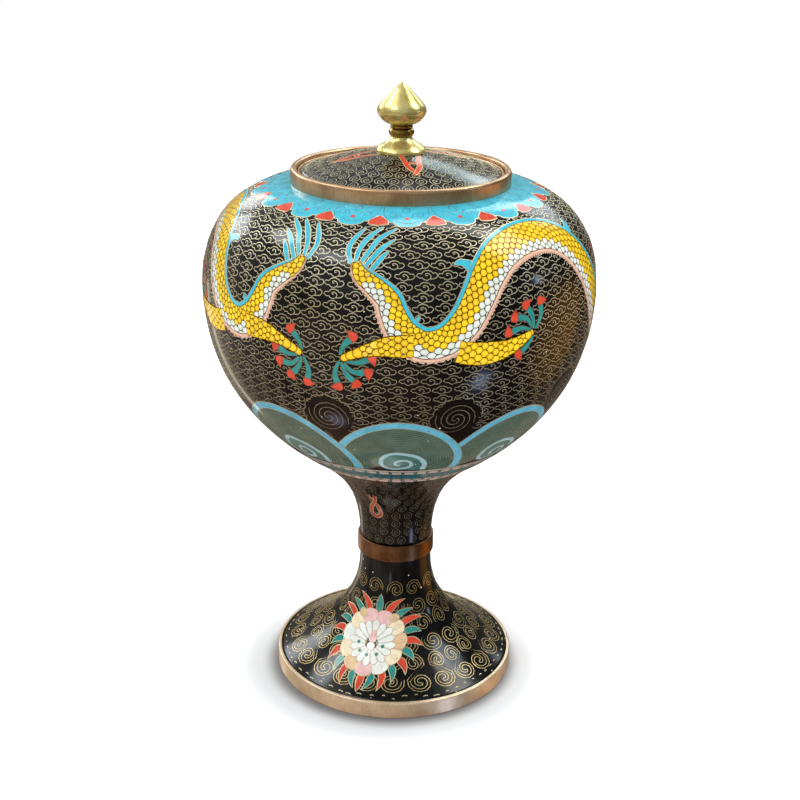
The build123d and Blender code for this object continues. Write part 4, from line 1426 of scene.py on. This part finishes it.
for (zoneName, colour), sheet in colourSheets.items():
    if not sheet["faces"]:
        continue
    layOn(zoneName + "_" + colour, sheet, zones[zoneName], finish[colour], layers[zoneName])
print("cells laid:", len(colourSheets))

nodeFinish = {
    "mouth_collar": "bronze", "stem_band": "darkBand", "foot_rim": "rim", "lid_bezel": "bronze",
    "lid_flange": "bronze",
    "finial_base": "brass", "finial_bead": "agedBrass", "finial_bud": "brass", "finial_stud": "brass",
    "finial_washer": "brass", "finial_nut": "brass",
    "bowl_lining": "lining", "foot_lining": "lining", "lid_lining": "lining",
    "bowl_lower_shell": "copper", "bowl_upper_shell": "copper", "bowl_floor": "copper", "stem_shell": "copper",
    "foot_shell": "copper", "lid_shell": "copper",
}
for name, colour in nodeFinish.items():
    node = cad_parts[name]
    node.data.materials.clear()
    node.data.materials.append(finish[colour])

lighting = {
    "floorReach": 0.95, "openSky": 1.2,  # light that matt surfaces get from all round
    "distance": 1.3, "middle": (0, 0, 0.13),
    # what a polished surface sees of the room: height of the view (0 floor, 1 ceiling), colour
    "room": [(0.0, (0.26, 0.14, 0.07)), (0.325, (0.44, 0.38, 0.31)), (0.5, (0.3, 0.27, 0.22)),
             (0.7, (0.42, 0.41, 0.38)),
             (0.85, (0.4, 0.41, 0.4)), (1.0, (0.8, 0.8, 0.78))],
    "rightShade": 0.22,  # how dim the room is to the right
    "patches": (0.5, 1.6),  # darkest and brightest parts of the room
    "woodColour": (1.0, 0.5, 0.12, 1), "woodBrightness": 0.75,
    "woodGlow": (0.91, 0.25, -0.33),  # direction of a warm wooden floor
    # softboxes: turn from the front towards the right, rise, width and height in degrees, glow, tint
    "boxes": {
        "leftWindow": (-133, 22, 20, 13, 5, "#F0F7FF"),
        "leftWindowFar": (-155, 20, 12, 12, 4, "#F0F7FF"),
        "leftCeiling": (-110, 48, 16, 12, 7, "#F2F9FF"),
        "frontLeft": (-56, 55, 22, 10, 5, "#F4FAFF"),
        "rightLamp": (108, 55, 26, 12, 5, "#FFFCF6"),
        "backRight": (150, 28, 24, 14, 3, "#E6F4FF"),
        "footGleam": (99, 45, 24, 13, 4.5, "#E2F1FF"),
        "ceilingBehind": (150, 61, 36, 12, 3.5, "#FFFFFF"),
        "lidLight": (170, 33, 16, 10, 3, "#D8F4FA"),
        "blueGlint": (85, 14, 3, 5, 12, "#C4DAFF"),
        "stemStrip": (-14, -19, 1.2, 10, 8, "#FFFFFF"),
        "blueBlob": (53, -37, 8, 8, 5, "#BFD0FF"),
        "lowBlob": (-61, -62, 7, 6, 2, "#C8D4FF"),
        "edgeStreak": (-141, -26, 4, 28, 2, "#FFF4E0"),
    },
    # painted contact shadow: the floor's colour is darkened round the foot of the jar and stands in for its shadow
    "paper": [(0.107, 0.2), (0.125, 0.66), (0.158, 0.9), (0.4, 0.96)],  # distance as a share of paintedShadowReach, tone
    # the painted shadow's middle is moved a little to the front and left, so that it is darker in front of the foot
    "paintedShadowReach": 0.4, "paintedShadowShift": (0.0008, 0.0022, 0),
}
floorMaterial, floorTree, floorShader = newMaterial("palePaperFloor")
spot = addNode(floorTree, "ShaderNodeTexCoord").outputs["Object"]
shifted = addNode(floorTree, "ShaderNodeVectorMath", {0: spot, 1: lighting["paintedShadowShift"]},
                  operation="ADD").outputs[0]
away = addNode(floorTree, "ShaderNodeVectorMath", {0: shifted}, operation="LENGTH").outputs["Value"]
share = addNode(floorTree, "ShaderNodeMath", {0: away, 1: 1 / lighting["paintedShadowReach"]},
                operation="MULTIPLY").outputs[0]
# painted shadow: the floor's base colour is darker the nearer it is to the jar's foot
shade = addNode(floorTree, "ShaderNodeValToRGB", {0: share})
setStops(shade, [(place, (value, value, value, 1)) for place, value in lighting["paper"]])
shade.color_ramp.interpolation = "EASE"
grain = addNode(floorTree, "ShaderNodeTexNoise", {"Vector": spot, "Scale": perMillimetre(40)}).outputs[0]
waver = addNode(floorTree, "ShaderNodeMapRange", {0: grain, 3: 0.97, 4: 1.03}).outputs[0]
paintedShadowTone = addNode(floorTree, "ShaderNodeVectorMath", {
    0: shade.outputs[0], "Scale": waver}, operation="SCALE").outputs[0]
floorTree.links.new(paintedShadowTone, floorShader.inputs["Base Color"])
floorShader.inputs["Roughness"].default_value = 0.9
floorShader.inputs["Specular IOR Level"].default_value = 0.1
floorMesh = bpy.data.meshes.new("floor")
rounds = [k / 64 * math.tau for k in range(64)]
floorEdge = [(lighting["floorReach"] * math.cos(turn), lighting["floorReach"] * math.sin(turn),
              0) for turn in rounds]
floorMesh.from_pydata(floorEdge, [], [tuple(range(64))])
floorMesh.materials.append(floorMaterial)
floor = bpy.data.objects.new("floor", floorMesh)
bpy.context.scene.collection.objects.link(floor)
floor.visible_glossy = False
floor.visible_shadow = False  # the low reflectors shine up past it

world = bpy.data.worlds.new("studio")
world.use_nodes = True
tree = world.node_tree
tree.nodes.clear()
ray = addNode(tree, "ShaderNodeLightPath").outputs
look = addNode(tree, "ShaderNodeTexCoord").outputs["Generated"]
flat = addNode(tree, "ShaderNodeSeparateXYZ", {0: look}).outputs
height = addNode(tree, "ShaderNodeMapRange", {0: flat[2], 1: -1.0, 2: 1.0}).outputs[0]
rightDark = addNode(tree, "ShaderNodeMapRange", {
    0: flat[0], 1: -0.6, 2: 0.75, 3: 1.15, 4: lighting["rightShade"]}).outputs[0]
room = addNode(tree, "ShaderNodeValToRGB", {0: height})
setStops(room, [(place, (*colour, 1)) for place, colour in lighting["room"]])
patches = addNode(tree, "ShaderNodeTexNoise", {"Vector": look, "Scale": 1.7, "Detail": 2.0}).outputs[0]
uneven = addNode(tree, "ShaderNodeMapRange",
                 {0: patches, 1: 0.35, 2: 0.65, 3: lighting["patches"][0], 4: lighting["patches"][1]}).outputs[0]
facing = addNode(tree, "ShaderNodeVectorMath", {
    0: look, 1: Vector(lighting["woodGlow"]).normalized()}, operation="DOT_PRODUCT").outputs["Value"]
wood = addNode(tree, "ShaderNodeMapRange", {
    0: facing, 1: 0.91, 2: 0.995}, interpolation_type="SMOOTHSTEP").outputs[0]
uneven = addNode(tree, "ShaderNodeMath", {0: uneven, 1: rightDark}, operation="MULTIPLY").outputs[0]
dimRoom = addNode(tree, "ShaderNodeBackground", {0: room.outputs[0], 1: uneven}).outputs[0]
warmFloor = addNode(tree, "ShaderNodeBackground",
                    {0: lighting["woodColour"], 1: lighting["woodBrightness"]}).outputs[0]
mirrorView = addNode(tree, "ShaderNodeMixShader", {0: wood, 1: dimRoom, 2: warmFloor}).outputs[0]
openSky = addNode(tree, "ShaderNodeBackground", {0: (1, 1, 1, 1), 1: lighting["openSky"]}).outputs[0]
paper = addNode(tree, "ShaderNodeBackground", {0: (1, 1, 1, 1), 1: 1.0}).outputs[0]
lit = addNode(tree, "ShaderNodeMixShader", {0: ray["Is Diffuse Ray"], 1: mirrorView, 2: openSky}).outputs[0]
mixed = addNode(tree, "ShaderNodeMixShader", {0: ray["Is Camera Ray"], 1: lit, 2: paper}).outputs[0]
addNode(tree, "ShaderNodeOutputWorld", {0: mixed})
world.cycles.sampling_method = "NONE"  # keeps the three kinds of ray apart
bpy.context.scene.world = world


def softbox(name, turn, rise, width, height, glow, tint):
    # an area light whose face glows evenly, seen from the jar at the given angles
    turn, rise, distance = math.radians(turn), math.radians(rise), lighting["distance"]
    data = bpy.data.lights.new(name, "AREA")
    data.shape = "RECTANGLE"
    data.size = 2 * distance * math.tan(math.radians(width / 2))
    data.size_y = 2 * distance * math.tan(math.radians(height / 2))
    data.energy = glow * math.pi * data.size * data.size_y
    data.color = linear(tint)[:3]
    light = bpy.data.objects.new(name, data)
    bpy.context.scene.collection.objects.link(light)
    away = Vector((math.cos(rise) * math.sin(turn), -math.cos(rise) * math.cos(turn), math.sin(rise)))
    light.location = Vector(lighting["middle"]) + away * distance
    light.rotation_euler = away.to_track_quat("Z", "Y").to_euler()
    light.visible_camera = False


for name, settings in lighting["boxes"].items():
    softbox(name, *settings)

view = {"lens": 62.67, "shift": 0.003, "place": (0, -0.4681, 0.2877), "pitch": 68.7, "roll": 0.84}
camera = bpy.data.objects.new("camera", bpy.data.cameras.new("camera"))
bpy.context.scene.collection.objects.link(camera)
camera.data.lens = view["lens"]
camera.data.sensor_width = 36.0
camera.data.shift_x = view["shift"]
pitch = Matrix.Rotation(math.radians(view["pitch"]), 4, "X")
roll = Matrix.Rotation(math.radians(view["roll"]), 4, "Z")
camera.matrix_world = Matrix.Translation(view["place"]) @ pitch @ roll
camera.data.clip_start = 0.01
bpy.context.scene.camera = camera
bpy.context.scene.view_settings.view_transform = "Standard"

for thing in helpers:
    bpy.data.objects.remove(thing)
print("triangles:", sum(triangles.values()), "most in one piece:", max(triangles.items(), key=lambda item: item[1]))
